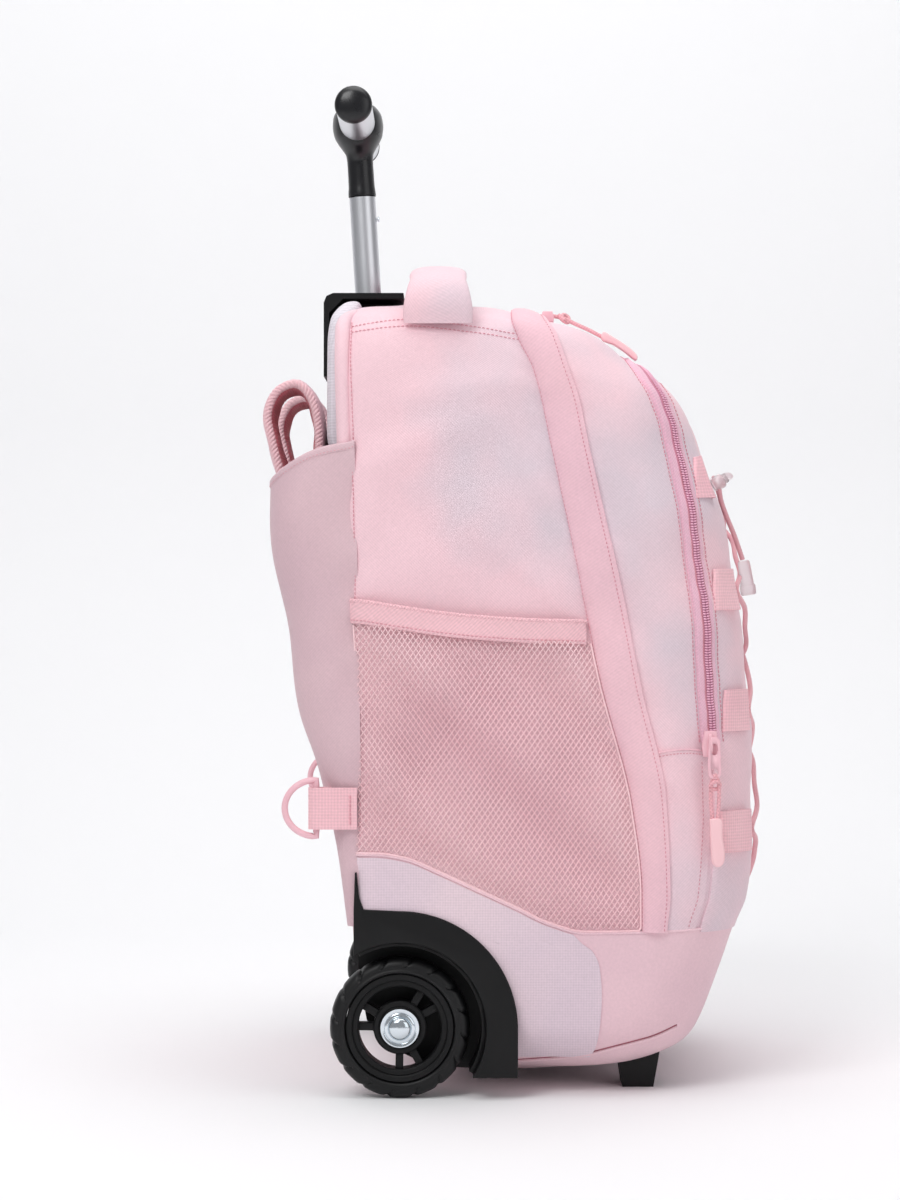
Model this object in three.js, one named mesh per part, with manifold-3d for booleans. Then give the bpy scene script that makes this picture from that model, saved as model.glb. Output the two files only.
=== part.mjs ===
// Wheeled school backpack with a single-pole trolley handle, in millimetres, +Z up.
// +X is the front of the bag (its pocket side), -Y is the wearer's left, and the wheels and feet stand at z = 0.
import * as THREE from 'three';
import { mergeVertices } from 'three/addons/utils/BufferGeometryUtils.js';
import Module from 'manifold-3d';

const wasm = await Module();
wasm.setup();

// Driving dimensions
const FABRIC = 2;                 // thickness of the lined fabric walls
const GAP = 0.3;                  // clearance between pieces that touch
const FAR = 400;                  // beyond the bag in every direction
const WEBBING = 25;               // width of the front webbing loops
const WHEEL = { x: -67.4, z: 42.5, radius: 42.5, rimRadius: 32.6, inner: 128, outer: 149 };
const WELL = { radius: 52, wall: 2.2, inner: 118, flangeRadius: 71, flange: 3.2, back: -95, foot: 13.5 };
const AXLE_RADIUS = 4;
const POLE = { x: -90.8, z: 497, lean: 3.49, radius: 8.5, bore: 7, top: 66, bottom: -377 };
const SLEEVE = { bore: 8.9, radius: 9.9, top: -34.5, bottom: -449 };
const GRIP = { z: 112, radius: 11.4, wall: 1.6, half: 82, capLength: 6 };
const PLATE = { back: -117.7, front: -67, half: 50, under: 491.5, thick: 3.6, strip: 3.4, stripFoot: 442 };
const BLOCK = { back: -113.9, front: -74, half: 16, foot: 464 };
const STRAP = { y: 62, width: 60, thick: 8.4 };
const HANDLE = { back: -65, front: -24, thick: 8 };
const MESH = { lift: 6, thick: 1.2, binding: 2.2, back: -93 };
const RING = { x: -117.5, z: 175, y: 148, reach: 19, half: 17, wire: 2 };
const FOOT = { y: 90, half: 14, backTop: 62, frontTop: 96, backFoot: 69, frontFoot: 88, top: 45 };
const CORD_RADIUS = 1.6;

// The bag's outer form: one row for each height, with the back and front faces, the half width and the
// radii of its upright edges. The front face is crowned by CROWN across the width.
const CROWN = 5;
const BAG_HALF = 150;
const FORM = [
  { z: 9, back: -34, front: 28, half: 86, backRound: 20, frontRound: 22 },
  { z: 18, back: -54, front: 84, half: 120, backRound: 22, frontRound: 44 },
  { z: 30, back: -76, front: 103, half: 138, backRound: 18, frontRound: 54 },
  { z: 43, back: -87, front: 109, half: 145, backRound: 12, frontRound: 55 },
  { z: 103, back: -95, front: 132, half: BAG_HALF, backRound: 8, frontRound: 55 },
  { z: 146, back: -95, front: 147, half: BAG_HALF, backRound: 8, frontRound: 55 },
  { z: 219, back: -96, front: 146, half: BAG_HALF, backRound: 8, frontRound: 55 },
  { z: 334, back: -98, front: 134, half: BAG_HALF, backRound: 8, frontRound: 55 },
  { z: 392, back: -99.5, front: 116, half: 148, backRound: 8, frontRound: 55 },
  { z: 427, back: -100.5, front: 99, half: 146, backRound: 8, frontRound: 55 },
  { z: 448, back: -101, front: 73, half: 143, backRound: 10, frontRound: 52 },
  { z: 462, back: -101, front: 54, half: 139, backRound: 13, frontRound: 48 },
  { z: 470, back: -101, front: 34, half: 133, backRound: 18, frontRound: 44 },
  { z: 477, back: -98, front: 2, half: 120, backRound: 20, frontRound: 36 },
  { z: 485, back: -84, front: -22, half: 72, backRound: 24, frontRound: 26 },
  { z: 489, back: -72, front: -38, half: 40, backRound: 14, frontRound: 14 },
];
const LOW_END = 60;
const HIGH_START = 440;

// Seam lines seen from the side, one row for each height: the two edges of the rain flap over the main
// zip, and the seam of the front pocket.
const SEAMS = [
  { z: -FAR, flapBack: 78, flapFront: 93, pocket: 113 },
  { z: 100, flapBack: 78, flapFront: 93, pocket: 113 },
  { z: 123, flapBack: 78, flapFront: 95, pocket: 119 },
  { z: 177, flapBack: 72, flapFront: 93, pocket: 122 },
  { z: 251, flapBack: 53, flapFront: 77, pocket: 118 },
  { z: 289, flapBack: 45, flapFront: 70, pocket: 115 },
  { z: 325, flapBack: 38, flapFront: 62, pocket: 110.5 },
  { z: 400, flapBack: 22, flapFront: 45, pocket: 98 },
  { z: 420, flapBack: 18, flapFront: 41, pocket: 91.5 },
  { z: 440, flapBack: 12.5, flapFront: 34, pocket: 83 },
  { z: 458, flapBack: 4, flapFront: 27, pocket: 74 },
  { z: 472, flapBack: 0, flapFront: 21, pocket: 66 },
  { z: FAR * 2, flapBack: 0, flapFront: 21, pocket: 66 },
];
for (const row of SEAMS) {
  row.flapMiddle = (row.flapBack + row.flapFront) / 2;
}

// The upper edge of the base, seen from the side.
const BASE_EDGE = [
  { x: -FAR, z: 145 },
  { x: -83, z: 147 },
  { x: -65, z: 144.5 },
  { x: -44, z: 136 },
  { x: -22, z: 126 },
  { x: 1, z: 115.5 },
  { x: 22, z: 105.5 },
  { x: 44, z: 100 },
  { x: 117, z: 102 },
  { x: FAR, z: 106 },
];

// The strap cover on the back: how far it stands out at each height.
const COVER = [
  { z: 104, out: -99 },
  { z: 150, out: -105.5 },
  { z: 193, out: -116 },
  { z: 233, out: -128 },
  { z: 299, out: -139.5 },
  { z: 371, out: -148 },
  { z: 400, out: -149 },
];
const COVER_EDGE = -93.5;
const COVER_MOUTH = { outX: -148, outZ: 372, seamX: -100, seamZ: 392 };

const bag = new THREE.Group();

// Materials
function finish(color, roughness, metalness = 0) {
  return new THREE.MeshStandardMaterial({ color, roughness, metalness });
}
const pinkFabric = () => finish(0xf0d3dc, 0.85);
const flapFabric = () => finish(0xf2c9d3, 0.85);
const baseFabric = () => finish(0xeec6d0, 0.85);
const coverFabric = () => finish(0xdcbcc4, 0.9);
const padFabric = () => finish(0xe8e2e8, 0.9);
const meshYarn = () => finish(0xf0b8c0, 0.7);
const webbingYarn = () => finish(0xf2b4be, 0.8);
const cordYarn = () => finish(0xe8a0a8, 0.8);
const pinkPlastic = () => finish(0xf2a8b0, 0.35);
const clearPlastic = () => finish(0xf4e4e6, 0.15);
const blackPlastic = () => finish(0x1f1f24, 0.5);
const blackRubber = () => finish(0x232326, 0.7);
const anodised = () => finish(0xc9cbd0, 0.3, 1);
const chrome = () => finish(0xd8dce0, 0.1, 1);

// Building helpers
function solidOf(geometry) {
  const bare = geometry.clone();
  bare.deleteAttribute('normal');
  bare.deleteAttribute('uv');
  const merged = mergeVertices(bare, 1e-4);
  return new wasm.Manifold(new wasm.Mesh({
    numProp: 3,
    vertProperties: new Float32Array(merged.attributes.position.array),
    triVerts: new Uint32Array(merged.index.array),
  }));
}

function geometryOf(solid) {
  const mesh = solid.getMesh();
  const geometry = new THREE.BufferGeometry();
  geometry.setAttribute('position', new THREE.BufferAttribute(mesh.vertProperties, 3));
  geometry.setIndex(new THREE.BufferAttribute(mesh.triVerts, 1));
  geometry.computeVertexNormals();
  return geometry;
}

function place(name, shape, material, parent = bag) {
  const geometry = shape.isBufferGeometry ? shape : geometryOf(shape);
  const mesh = new THREE.Mesh(geometry, material);
  mesh.name = name;
  parent.add(mesh);
  return mesh;
}

function between(rows, key, value, column) {
  const first = rows[0][key];
  const last = rows[rows.length - 1][key];
  const at = Math.min(Math.max(value, first), last);
  const upper = Math.max(1, rows.findIndex((row) => row[key] >= at));
  const low = rows[upper - 1];
  const high = rows[upper];
  const share = (at - low[key]) / (high[key] - low[key]);
  return low[column] + (high[column] - low[column]) * share;
}

// One level ring of a rounded box, counter-clockwise from above.
function levelRing({ back, front, half, backRound, frontRound, z, crown = 0 }, steps = 3) {
  const middle = (front - back) / 2;
  const rf = Math.min(frontRound, half, middle);
  const rb = Math.min(backRound, half, middle);
  const corners = [
    { x: front - rf, y: half - rf, radius: rf, from: 0 },
    { x: back + rb, y: half - rb, radius: rb, from: 1 },
    { x: back + rb, y: rb - half, radius: rb, from: 2 },
    { x: front - rf, y: rf - half, radius: rf, from: 3 },
  ];
  const ring = [];
  for (const corner of corners) {
    for (let step = 0; step <= steps; step += 1) {
      const angle = (corner.from + step / steps) * Math.PI / 2;
      ring.push(new THREE.Vector3(
        corner.x + corner.radius * Math.cos(angle),
        corner.y + corner.radius * Math.sin(angle),
        z,
      ));
    }
  }
  for (const share of [-0.5, 0, 0.5]) {
    ring.push(new THREE.Vector3(front + crown * (1 - share * share), share * (half - rf), z));
  }
  return ring;
}

// A closed solid through rings of equal length, each counter-clockwise seen from the last ring.
function loft(rings) {
  const count = rings[0].length;
  const positions = rings.flat().flatMap((point) => [point.x, point.y, point.z]);
  const index = [];
  for (let level = 0; level + 1 < rings.length; level += 1) {
    for (let i = 0; i < count; i += 1) {
      const next = (i + 1) % count;
      const a = level * count + i;
      const b = level * count + next;
      index.push(a, b, b + count, a, b + count, a + count);
    }
  }
  const flat = rings[0].map((point) => new THREE.Vector2(point.x, point.y));
  for (const [a, b, c] of THREE.ShapeUtils.triangulateShape(flat, [])) {
    index.push(a, c, b);
  }
  const end = (rings.length - 1) * count;
  const flatEnd = rings[rings.length - 1].map((point) => new THREE.Vector2(point.x, point.y));
  for (const [a, b, c] of THREE.ShapeUtils.triangulateShape(flatEnd, [])) {
    index.push(end + a, end + b, end + c);
  }
  const geometry = new THREE.BufferGeometry();
  geometry.setAttribute('position', new THREE.Float32BufferAttribute(positions, 3));
  geometry.setIndex(index);
  return solidOf(geometry);
}

// The bag's form moved outwards by an offset, or inwards by a negative one.
function form(offset) {
  const rings = FORM.map((row) => {
    const lowShare = Math.max(0, (LOW_END - row.z) / (LOW_END - FORM[0].z));
    const highShare = Math.max(0, (row.z - HIGH_START) / (FORM[FORM.length - 1].z - HIGH_START));
    return levelRing({
      back: row.back - offset,
      front: row.front + offset,
      half: row.half + offset,
      backRound: Math.max(row.backRound + offset, 1),
      frontRound: row.frontRound + offset,
      z: row.z + offset * (highShare - lowShare),
      crown: CROWN,
    });
  });
  return loft(rings);
}

function shapeOf(points) {
  return new THREE.Shape(points.map(([x, y]) => new THREE.Vector2(x, y)));
}

// An outline in the side view, given as [x, z], carried from one y to the other.
function sidePrism(outline, fromY, toY) {
  const shape = outline instanceof THREE.Shape ? outline : shapeOf(outline);
  const depth = Math.abs(toY - fromY);
  const geometry = new THREE.ExtrudeGeometry(shape, { depth, bevelEnabled: false, curveSegments: 6 });
  geometry.rotateX(Math.PI / 2);
  geometry.translate(0, Math.max(fromY, toY), 0);
  return solidOf(geometry);
}

// An outline in the front view, given as [y, z], carried from one x to the other.
function frontPrism(outline, fromX, toX) {
  const geometry = new THREE.ExtrudeGeometry(shapeOf(outline), { depth: toX - fromX, bevelEnabled: false });
  const turn = new THREE.Matrix4().makeBasis(
    new THREE.Vector3(0, 1, 0),
    new THREE.Vector3(0, 0, 1),
    new THREE.Vector3(1, 0, 0),
  );
  geometry.applyMatrix4(turn);
  geometry.translate(fromX, 0, 0);
  return solidOf(geometry);
}

function box(x0, x1, y0, y1, z0, z1) {
  const geometry = new THREE.BoxGeometry(x1 - x0, y1 - y0, z1 - z0);
  geometry.translate((x0 + x1) / 2, (y0 + y1) / 2, (z0 + z1) / 2);
  return solidOf(geometry);
}

// A round bar along Y.
function crossBar(x, z, radius, fromY, toY, sides = 24) {
  const geometry = new THREE.CylinderGeometry(radius, radius, Math.abs(toY - fromY), sides);
  geometry.translate(x, (fromY + toY) / 2, z);
  return solidOf(geometry);
}

// A profile of [radius, height] turned about the Z axis.
function turned(profile, sides = 24) {
  const points = profile.map(([radius, height]) => new THREE.Vector2(radius, height));
  return new THREE.LatheGeometry(points, sides).rotateX(Math.PI / 2);
}

// A round cord along a curve through points of [x, y, z].
function cordAlong(points, radius, steps, sides = 8) {
  const curve = new THREE.CatmullRomCurve3(points.map((point) => new THREE.Vector3(...point)), false, 'centripetal');
  const circle = new THREE.Shape();
  circle.absarc(0, 0, radius, 0, Math.PI * 2, false);
  return solidOf(new THREE.ExtrudeGeometry(circle, {
    extrudePath: curve,
    steps,
    bevelEnabled: false,
    curveSegments: sides / 2,
  }));
}

// The outline of a band of even thickness along a smooth path of [u, v] points.
function bandOutline(path, thick, samples) {
  const curve = new THREE.CatmullRomCurve3(path.map(([u, v]) => new THREE.Vector3(u, v, 0)), false, 'centripetal');
  const left = [];
  const right = [];
  for (let i = 0; i <= samples; i += 1) {
    const point = curve.getPointAt(i / samples);
    const along = curve.getTangentAt(i / samples);
    left.push([point.x - along.y * thick / 2, point.y + along.x * thick / 2]);
    right.push([point.x + along.y * thick / 2, point.y - along.x * thick / 2]);
  }
  return [...left, ...right.reverse()];
}

// Regions of the side view that divide the bag into its panels
function behindSeam(column, shift) {
  const line = SEAMS.map((row) => [row[column] + shift, row.z]);
  return sidePrism([...line, [-FAR, FAR * 2], [-FAR, -FAR]], -FAR, FAR);
}

function aheadOfSeam(column, shift) {
  const line = SEAMS.map((row) => [row[column] + shift, row.z]);
  return sidePrism([...line, [FAR, FAR * 2], [FAR, -FAR]], -FAR, FAR);
}

function belowBaseEdge(shift) {
  const line = BASE_EDGE.map((point) => [point.x, point.z + shift]);
  return sidePrism([...line, [FAR, -FAR], [-FAR, -FAR]], -FAR, FAR);
}

const outside = form(0);
const skin = form(GAP);
const inside = form(-FABRIC);
const SIDES = [{ side: 'left', sign: -1 }, { side: 'right', sign: 1 }];

// A span between two distances from the middle of the bag, on one side of it.
function span(sign, near, far) {
  return sign < 0 ? [-far, -near] : [near, far];
}

// Trolley: pole, clamp and cross grip lean back together
const lean = THREE.MathUtils.degToRad(POLE.lean);
const mast = new THREE.Group();
mast.position.set(POLE.x, 0, POLE.z);
mast.rotation.y = -lean;
bag.add(mast);

function leaning(solidOrGeometry) {
  const geometry = solidOrGeometry.isBufferGeometry ? solidOrGeometry.clone() : geometryOf(solidOrGeometry);
  geometry.rotateY(-lean);
  geometry.translate(POLE.x, 0, POLE.z);
  return solidOf(geometry);
}

function makeTrolley() {
  const bore = SLEEVE.bore;
  const keyway = box(0, bore + 1.6, -2.4, 2.4, -130, 40);
  const bored = leaning(solidOf(turned([[0, -60], [bore, -60], [bore, 60], [0, 60]], 20)).add(keyway));

  // Moulded plate: a flat top, a strip down the back and the block that the pole runs through
  const top = PLATE.under + PLATE.thick;
  const round = 6;
  const profile = [
    [PLATE.back, PLATE.stripFoot], [PLATE.back + PLATE.strip, PLATE.stripFoot],
    [PLATE.back + PLATE.strip, PLATE.under - 9], [PLATE.back + PLATE.strip + 9, PLATE.under],
    [PLATE.front, PLATE.under], [PLATE.front, top], [PLATE.back + round, top],
    [PLATE.back + round * 0.3, top - round * 0.3], [PLATE.back, top - round],
  ];
  const block = box(BLOCK.back, BLOCK.front, -BLOCK.half, BLOCK.half, BLOCK.foot, PLATE.under + 1);
  const plate = sidePrism(profile, -PLATE.half, PLATE.half).add(block).subtract(bored);
  place('trolley_plate', plate, blackPlastic());

  const sleeve = solidOf(turned([
    [SLEEVE.bore, SLEEVE.bottom], [SLEEVE.radius, SLEEVE.bottom], [SLEEVE.radius, SLEEVE.top],
    [SLEEVE.bore, SLEEVE.top], [SLEEVE.bore, SLEEVE.bottom],
  ], 20)).subtract(keyway);
  place('outer_sleeve', sleeve, anodised(), mast);

  const pole = turned([
    [POLE.bore, POLE.bottom], [POLE.radius, POLE.bottom], [POLE.radius, POLE.top],
    [POLE.bore, POLE.top], [POLE.bore, POLE.bottom],
  ], 20);
  place('pole', pole, anodised(), mast);

  const button = new THREE.SphereGeometry(2, 8, 6);
  button.scale(0.45, 1, 1);
  button.translate(POLE.radius + 0.25 + 0.9, 0, 51);
  place('detent_button', button, chrome(), mast);
}
makeTrolley();

function makeGrip() {
  const neckFoot = POLE.top + GAP;
  const body = solidOf(turned([
    [0, neckFoot - 26], [POLE.bore - GAP, neckFoot - 26], [POLE.bore - GAP, neckFoot], [8.7, neckFoot],
    [8.4, neckFoot + 8], [8.6, neckFoot + 24], [11.5, neckFoot + 32], [15.4, neckFoot + 39],
    [16.4, neckFoot + 46], [15.2, neckFoot + 54], [11, neckFoot + 60], [0, neckFoot + 62],
  ], 16));
  const barHole = crossBar(0, GRIP.z, GRIP.radius + GAP, -40, 40, 20);
  place('grip_clamp', body.subtract(barHole), blackPlastic(), mast);

  const inner = GRIP.radius - GRIP.wall;
  const bar = crossBar(0, GRIP.z, GRIP.radius, -GRIP.half, GRIP.half, 20)
    .subtract(crossBar(0, GRIP.z, inner, -GRIP.half - 1, GRIP.half + 1, 16));
  place('grip_bar', bar, anodised(), mast);

  for (const { side, sign } of SIDES) {
    const profile = [
      [0, -12], [inner - GAP, -12], [inner - GAP, GAP], [GRIP.radius + 0.2, GAP],
      [GRIP.radius + 0.2, GRIP.capLength - 2], [GRIP.radius - 2, GRIP.capLength], [0, GRIP.capLength + 1],
    ];
    const cap = new THREE.LatheGeometry(profile.map(([r, h]) => new THREE.Vector2(r, h)), 16);
    if (sign < 0) {
      cap.rotateX(Math.PI);
    }
    cap.translate(0, sign * GRIP.half, GRIP.z);
    place(`grip_cap_${side}`, cap, blackPlastic(), mast);
  }
}
makeGrip();

// Wheels: a tyre and a spoked rim on one cross axle, each in a moulded housing
function makeWheel(side, sign) {
  const { x, z, radius, rimRadius, inner, outer } = WHEEL;
  const wide = outer - inner;
  const centre = sign * (inner + wide / 2);
  const h = wide / 2;
  const tyreProfile = [
    [rimRadius + GAP, -h], [radius - 4, -h], [radius, -h + 5], [radius, h - 5], [radius - 4, h],
    [rimRadius + GAP, h], [rimRadius + GAP, -h],
  ];
  const tyre = new THREE.LatheGeometry(tyreProfile.map(([r, y]) => new THREE.Vector2(r, y)), 30);
  tyre.translate(x, centre, z);
  place(`tyre_${side}`, tyre, blackRubber());

  const rimWide = h - 1.5;
  const band = crossBar(0, 0, rimRadius, -rimWide, rimWide, 26).subtract(crossBar(0, 0, 26, -h, h, 20));
  let rim = band.add(crossBar(0, 0, 12.5, -rimWide + 2, rimWide - 2, 14));
  const spoke = box(10, 29, -3.5, 3.5, -2, 2);
  for (const pair of [44, 164, 284]) {
    for (const half of [-15, 15]) {
      rim = rim.add(spoke.rotate([0, -(pair + half), 0]));
    }
  }
  rim = rim.subtract(crossBar(0, 0, AXLE_RADIUS + GAP, -h - 1, h + 1, 12));
  place(`rim_${side}`, rim.translate([x, centre, z]), blackPlastic());

  const capProfile = [[0, 0], [12, 0], [11.6, 1.5], [6.6, 1.5], [5.6, 4], [0, 5.6]];
  const cap = new THREE.LatheGeometry(capProfile.map(([r, y]) => new THREE.Vector2(r, y)), 14);
  if (sign < 0) {
    cap.rotateX(Math.PI);
  }
  cap.translate(x, sign * (outer - 3), z);
  place(`axle_cap_${side}`, cap, chrome());

  // Housing: a flat flange on the bag's side, an arch over the tyre and a wall behind it
  const { back, foot, flangeRadius } = WELL;
  const archStart = Math.acos((back - x) / WELL.radius);
  const archEnd = -0.56;
  const flange = new THREE.Shape();
  flange.moveTo(x + WELL.radius * Math.cos(archEnd), foot);
  flange.lineTo(x + flangeRadius, foot);
  flange.lineTo(x + flangeRadius, z);
  flange.absarc(x, z, flangeRadius, 0, Math.PI / 2, false);
  flange.lineTo(back + 5, z + flangeRadius);
  flange.lineTo(back + 1.5, z + flangeRadius + 24);
  flange.lineTo(back, z + flangeRadius);
  flange.absarc(x, z, WELL.radius, archStart, archEnd, true);
  const face = BAG_HALF + GAP;
  const [flangeLow, flangeHigh] = span(sign, face, face + WELL.flange);
  const arch = new THREE.Shape();
  arch.absarc(x, z, WELL.radius + WELL.wall, archEnd, archStart - 0.05, false);
  arch.absarc(x, z, WELL.radius, archStart - 0.05, archEnd, true);
  const [archLow, archHigh] = span(sign, WELL.inner, face + WELL.flange / 2);
  const [wallLow, wallHigh] = span(sign, WELL.inner, WELL.inner + WELL.wall);
  const wall = crossBar(x, z, WELL.radius + WELL.wall / 2, wallLow, wallHigh, 24).intersect(outside);
  const housing = sidePrism(flange, flangeLow, flangeHigh)
    .add(sidePrism(arch, archLow, archHigh))
    .add(wall)
    .subtract(crossBar(x, z, AXLE_RADIUS + GAP, -FAR, FAR, 16));
  place(`wheel_housing_${side}`, housing, blackPlastic());
}
for (const { side, sign } of SIDES) {
  makeWheel(side, sign);
}
const axleEnd = WHEEL.outer - 3 - GAP;
place('axle', crossBar(WHEEL.x, WHEEL.z, AXLE_RADIUS, -axleEnd, axleEnd, 16), anodised());

// Bag panels
function makePanels() {
  const shell = outside.subtract(inside);
  const upper = shell.subtract(belowBaseEdge(GAP));
  const blockRoom = box(
    BLOCK.back - GAP,
    BLOCK.front + GAP,
    -BLOCK.half - GAP,
    BLOCK.half + GAP,
    BLOCK.foot - GAP,
    FAR * 2,
  );
  const rear = upper.intersect(behindSeam('flapMiddle', -GAP / 2)).subtract(blockRoom);
  place('rear_shell', rear, pinkFabric());

  const lidRoom = inside.intersect(behindSeam('pocket', -FABRIC));
  const lid = outside.subtract(lidRoom)
    .intersect(aheadOfSeam('flapMiddle', GAP / 2))
    .intersect(behindSeam('pocket', 0))
    .subtract(belowBaseEdge(GAP));
  place('front_shell', lid, pinkFabric());

  const pocketProud = 1.5;
  const pocketFloor = 112;
  const pocketRoom = form(pocketProud - FABRIC).subtract(box(-FAR, FAR, -FAR, FAR, -FAR, pocketFloor));
  const pocket = form(pocketProud).subtract(pocketRoom)
    .intersect(aheadOfSeam('pocket', GAP))
    .subtract(belowBaseEdge(GAP));
  place('front_pocket', pocket, pinkFabric());

  let base = shell.intersect(belowBaseEdge(0));
  for (const { sign } of SIDES) {
    const [low, high] = span(sign, WELL.inner - GAP, FAR);
    base = base.subtract(crossBar(WHEEL.x, WHEEL.z, WELL.radius + WELL.wall + GAP * 3, low, high, 24));
  }
  place('base', base, baseFabric());

  const flap = form(3).subtract(skin)
    .intersect(aheadOfSeam('flapBack', 0))
    .intersect(behindSeam('flapFront', 0))
    .subtract(belowBaseEdge(GAP));
  place('zip_flap', flap, flapFabric());

  const zipEnd = 214;
  const zip = form(pocketProud + 1.3)
    .intersect(aheadOfSeam('pocket', -6))
    .intersect(behindSeam('pocket', 5))
    .subtract(skin)
    .subtract(form(pocketProud + GAP).intersect(aheadOfSeam('pocket', 0)))
    .subtract(box(-FAR, FAR, -FAR, FAR, -FAR, zipEnd));
  place('pocket_zip', zip, finish(0xf0b6d2, 0.7));
}
makePanels();

// The strap cover's outer form, moved inwards by an inset.
function coverForm(inset) {
  return loft(COVER.map((row) => levelRing({
    back: row.out + inset,
    front: -40,
    half: 149.6 - inset,
    backRound: 34 - inset,
    frontRound: 4,
    z: row.z,
  }, 3)));
}

// Back: padded panel, strap cover open at the top, and the straps folded into it
function makeBack() {
  const padRows = [
    { z: 204, back: -107, half: 102 },
    { z: 218, back: -113, half: 112 },
    { z: 300, back: -114, half: 114 },
    { z: 446, back: -114, half: 114 },
    { z: 463, back: -109, half: 106 },
  ];
  const pad = loft(padRows.map((row) => levelRing({ ...row, front: -60, backRound: 12, frontRound: 4 }, 3)));
  place('back_pad', pad.subtract(skin), padFabric());

  const slope = (COVER_MOUTH.outZ - COVER_MOUTH.seamZ) / (COVER_MOUTH.outX - COVER_MOUTH.seamX);
  const mouthAt = (x) => COVER_MOUTH.seamZ + slope * (x - COVER_MOUTH.seamX);
  const above = sidePrism([[-FAR, mouthAt(-FAR)], [FAR, mouthAt(FAR)], [FAR, FAR * 3], [-FAR, FAR * 3]], -FAR, FAR);
  const cover = coverForm(0).subtract(coverForm(FABRIC)).subtract(above).subtract(skin)
    .subtract(box(COVER_EDGE, FAR, -FAR, FAR, -FAR, FAR * 2));
  place('strap_cover', cover, coverFabric());

  const leg = -114.5 - GAP - STRAP.thick / 2;
  const path = [
    [leg, 336], [leg, 375], [leg - 0.3, 408], [-124, 426], [-132.5, 434], [-144, 430], [-150.5, 416],
    [-147.6, 398], [-141.4, 374], [-137, 345], [-132.8, 310], [-129.4, 282], [-126, 258],
  ];
  for (const { side, sign } of SIDES) {
    const [low, high] = span(sign, STRAP.y - STRAP.width / 2, STRAP.y + STRAP.width / 2);
    const strap = sidePrism(bandOutline(path, STRAP.thick, 17), low, high);
    place(`shoulder_strap_${side}`, strap, coverFabric());
  }
}
makeBack();

// Grab handle: a padded strap that arches across the top, sewn just above the side seams
function makeHandle() {
  const thick = HANDLE.thick;
  const path = [[-142.1, 463.5], [-143.4, 478], [-138.5, 492], [-122, 500.5], [-80, 507], [0, 512]];
  const whole = [...path, ...path.slice(0, -1).reverse().map(([y, z]) => [-y, z])];
  const arch = frontPrism(bandOutline(whole, thick, 20), HANDLE.back, HANDLE.front);
  place('grab_handle', arch.subtract(skin), pinkFabric());
}
makeHandle();

// Side pockets: a coarse net sewn down on three sides, with a bound top edge
const NET = { back: -92.4, mouthBack: 286, mouthFront: 274, binding: 13, edge: 4, columns: 5, pitchX: 29, pitchZ: 40 };
const sewn = (column, shift) => SEAMS.filter((row) => row.z > 90 && row.z < 330)
  .map((row) => [row[column] + shift, row.z]);

function netOutline(inset) {
  const right = sewn('flapBack', -1 - inset).filter(([, z]) => z < 285 && z > 100);
  const mouth = (x) => NET.mouthBack + (x - NET.back) / 130 * (NET.mouthFront - NET.mouthBack);
  const bottom = BASE_EDGE.filter((point) => point.x > NET.back + inset && point.x < 70)
    .map((point) => [point.x, point.z + 1 + inset]);
  const left = NET.back + inset;
  const lastX = 45 - inset;
  return [
    [left, mouth(left) - inset], [left, 147 + inset], ...bottom,
    ...right.slice(0, 1).map(([x]) => [x, 102 + inset]), ...right.slice(0, 3), [lastX, mouth(45) - inset],
  ];
}

function makeSidePocket(side, sign) {
  const [low, high] = span(sign, 60, FAR);
  const halfSpace = box(-FAR, FAR, low, high, -FAR, FAR * 2);
  const face = form(MESH.lift + MESH.thick);
  const sheet = face.subtract(form(MESH.lift)).intersect(sidePrism(netOutline(0), low, high));
  const rim = face.subtract(skin)
    .intersect(sidePrism(netOutline(0), low, high))
    .subtract(sidePrism(netOutline(NET.edge), low, high))
    .subtract(box(NET.back + NET.edge, 40, low, high, 262, FAR));
  let net = sheet.add(rim);
  const room = sidePrism(netOutline(NET.edge + 2), low, high);
  let holes = null;
  for (let column = 0; column < NET.columns; column += 1) {
    for (let row = 0; row < 7; row += 1) {
      for (const stagger of [0, 0.5]) {
        const x = NET.back + 17 + (column + stagger) * NET.pitchX;
        const z = 118 + (row + stagger) * NET.pitchZ;
        const floor = between(BASE_EDGE, 'x', x, 'z');
        const wall = between(SEAMS, 'z', z, 'flapBack');
        if (z > 262 || z < floor + 20 || x > wall - 17) {
          continue;
        }
        const w = NET.pitchX * 0.4;
        const h = NET.pitchZ * 0.4;
        const diamond = sidePrism([[x - w, z], [x, z - h], [x + w, z], [x, z + h]], low, high);
        holes = holes ? holes.add(diamond) : diamond;
      }
    }
  }
  net = net.subtract(holes.intersect(room));
  place(`mesh_pocket_${side}`, net.intersect(halfSpace), meshYarn());

  const top = (x) => NET.mouthBack + GAP + (x - NET.back) / 130 * (NET.mouthFront - NET.mouthBack);
  const strip = [
    [NET.back, top(NET.back)], [44, top(44)], [41, top(41) + NET.binding], [NET.back, top(NET.back) + NET.binding],
  ];
  const stripPrism = sidePrism(strip, low, high);
  const ends = sidePrism([[NET.back, 0], [NET.back + 3, 0], [NET.back + 3, 400], [NET.back, 400]], low, high)
    .add(sidePrism([[39, 0], [50, 0], [50, 400], [39, 400]], low, high));
  const outerFace = form(MESH.lift + MESH.binding);
  const binding = outerFace.subtract(form(MESH.lift - 0.4))
    .add(outerFace.subtract(skin).intersect(ends))
    .intersect(stripPrism);
  place(`pocket_binding_${side}`, binding.intersect(halfSpace), webbingYarn());
}
for (const { side, sign } of SIDES) {
  makeSidePocket(side, sign);
}

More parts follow.
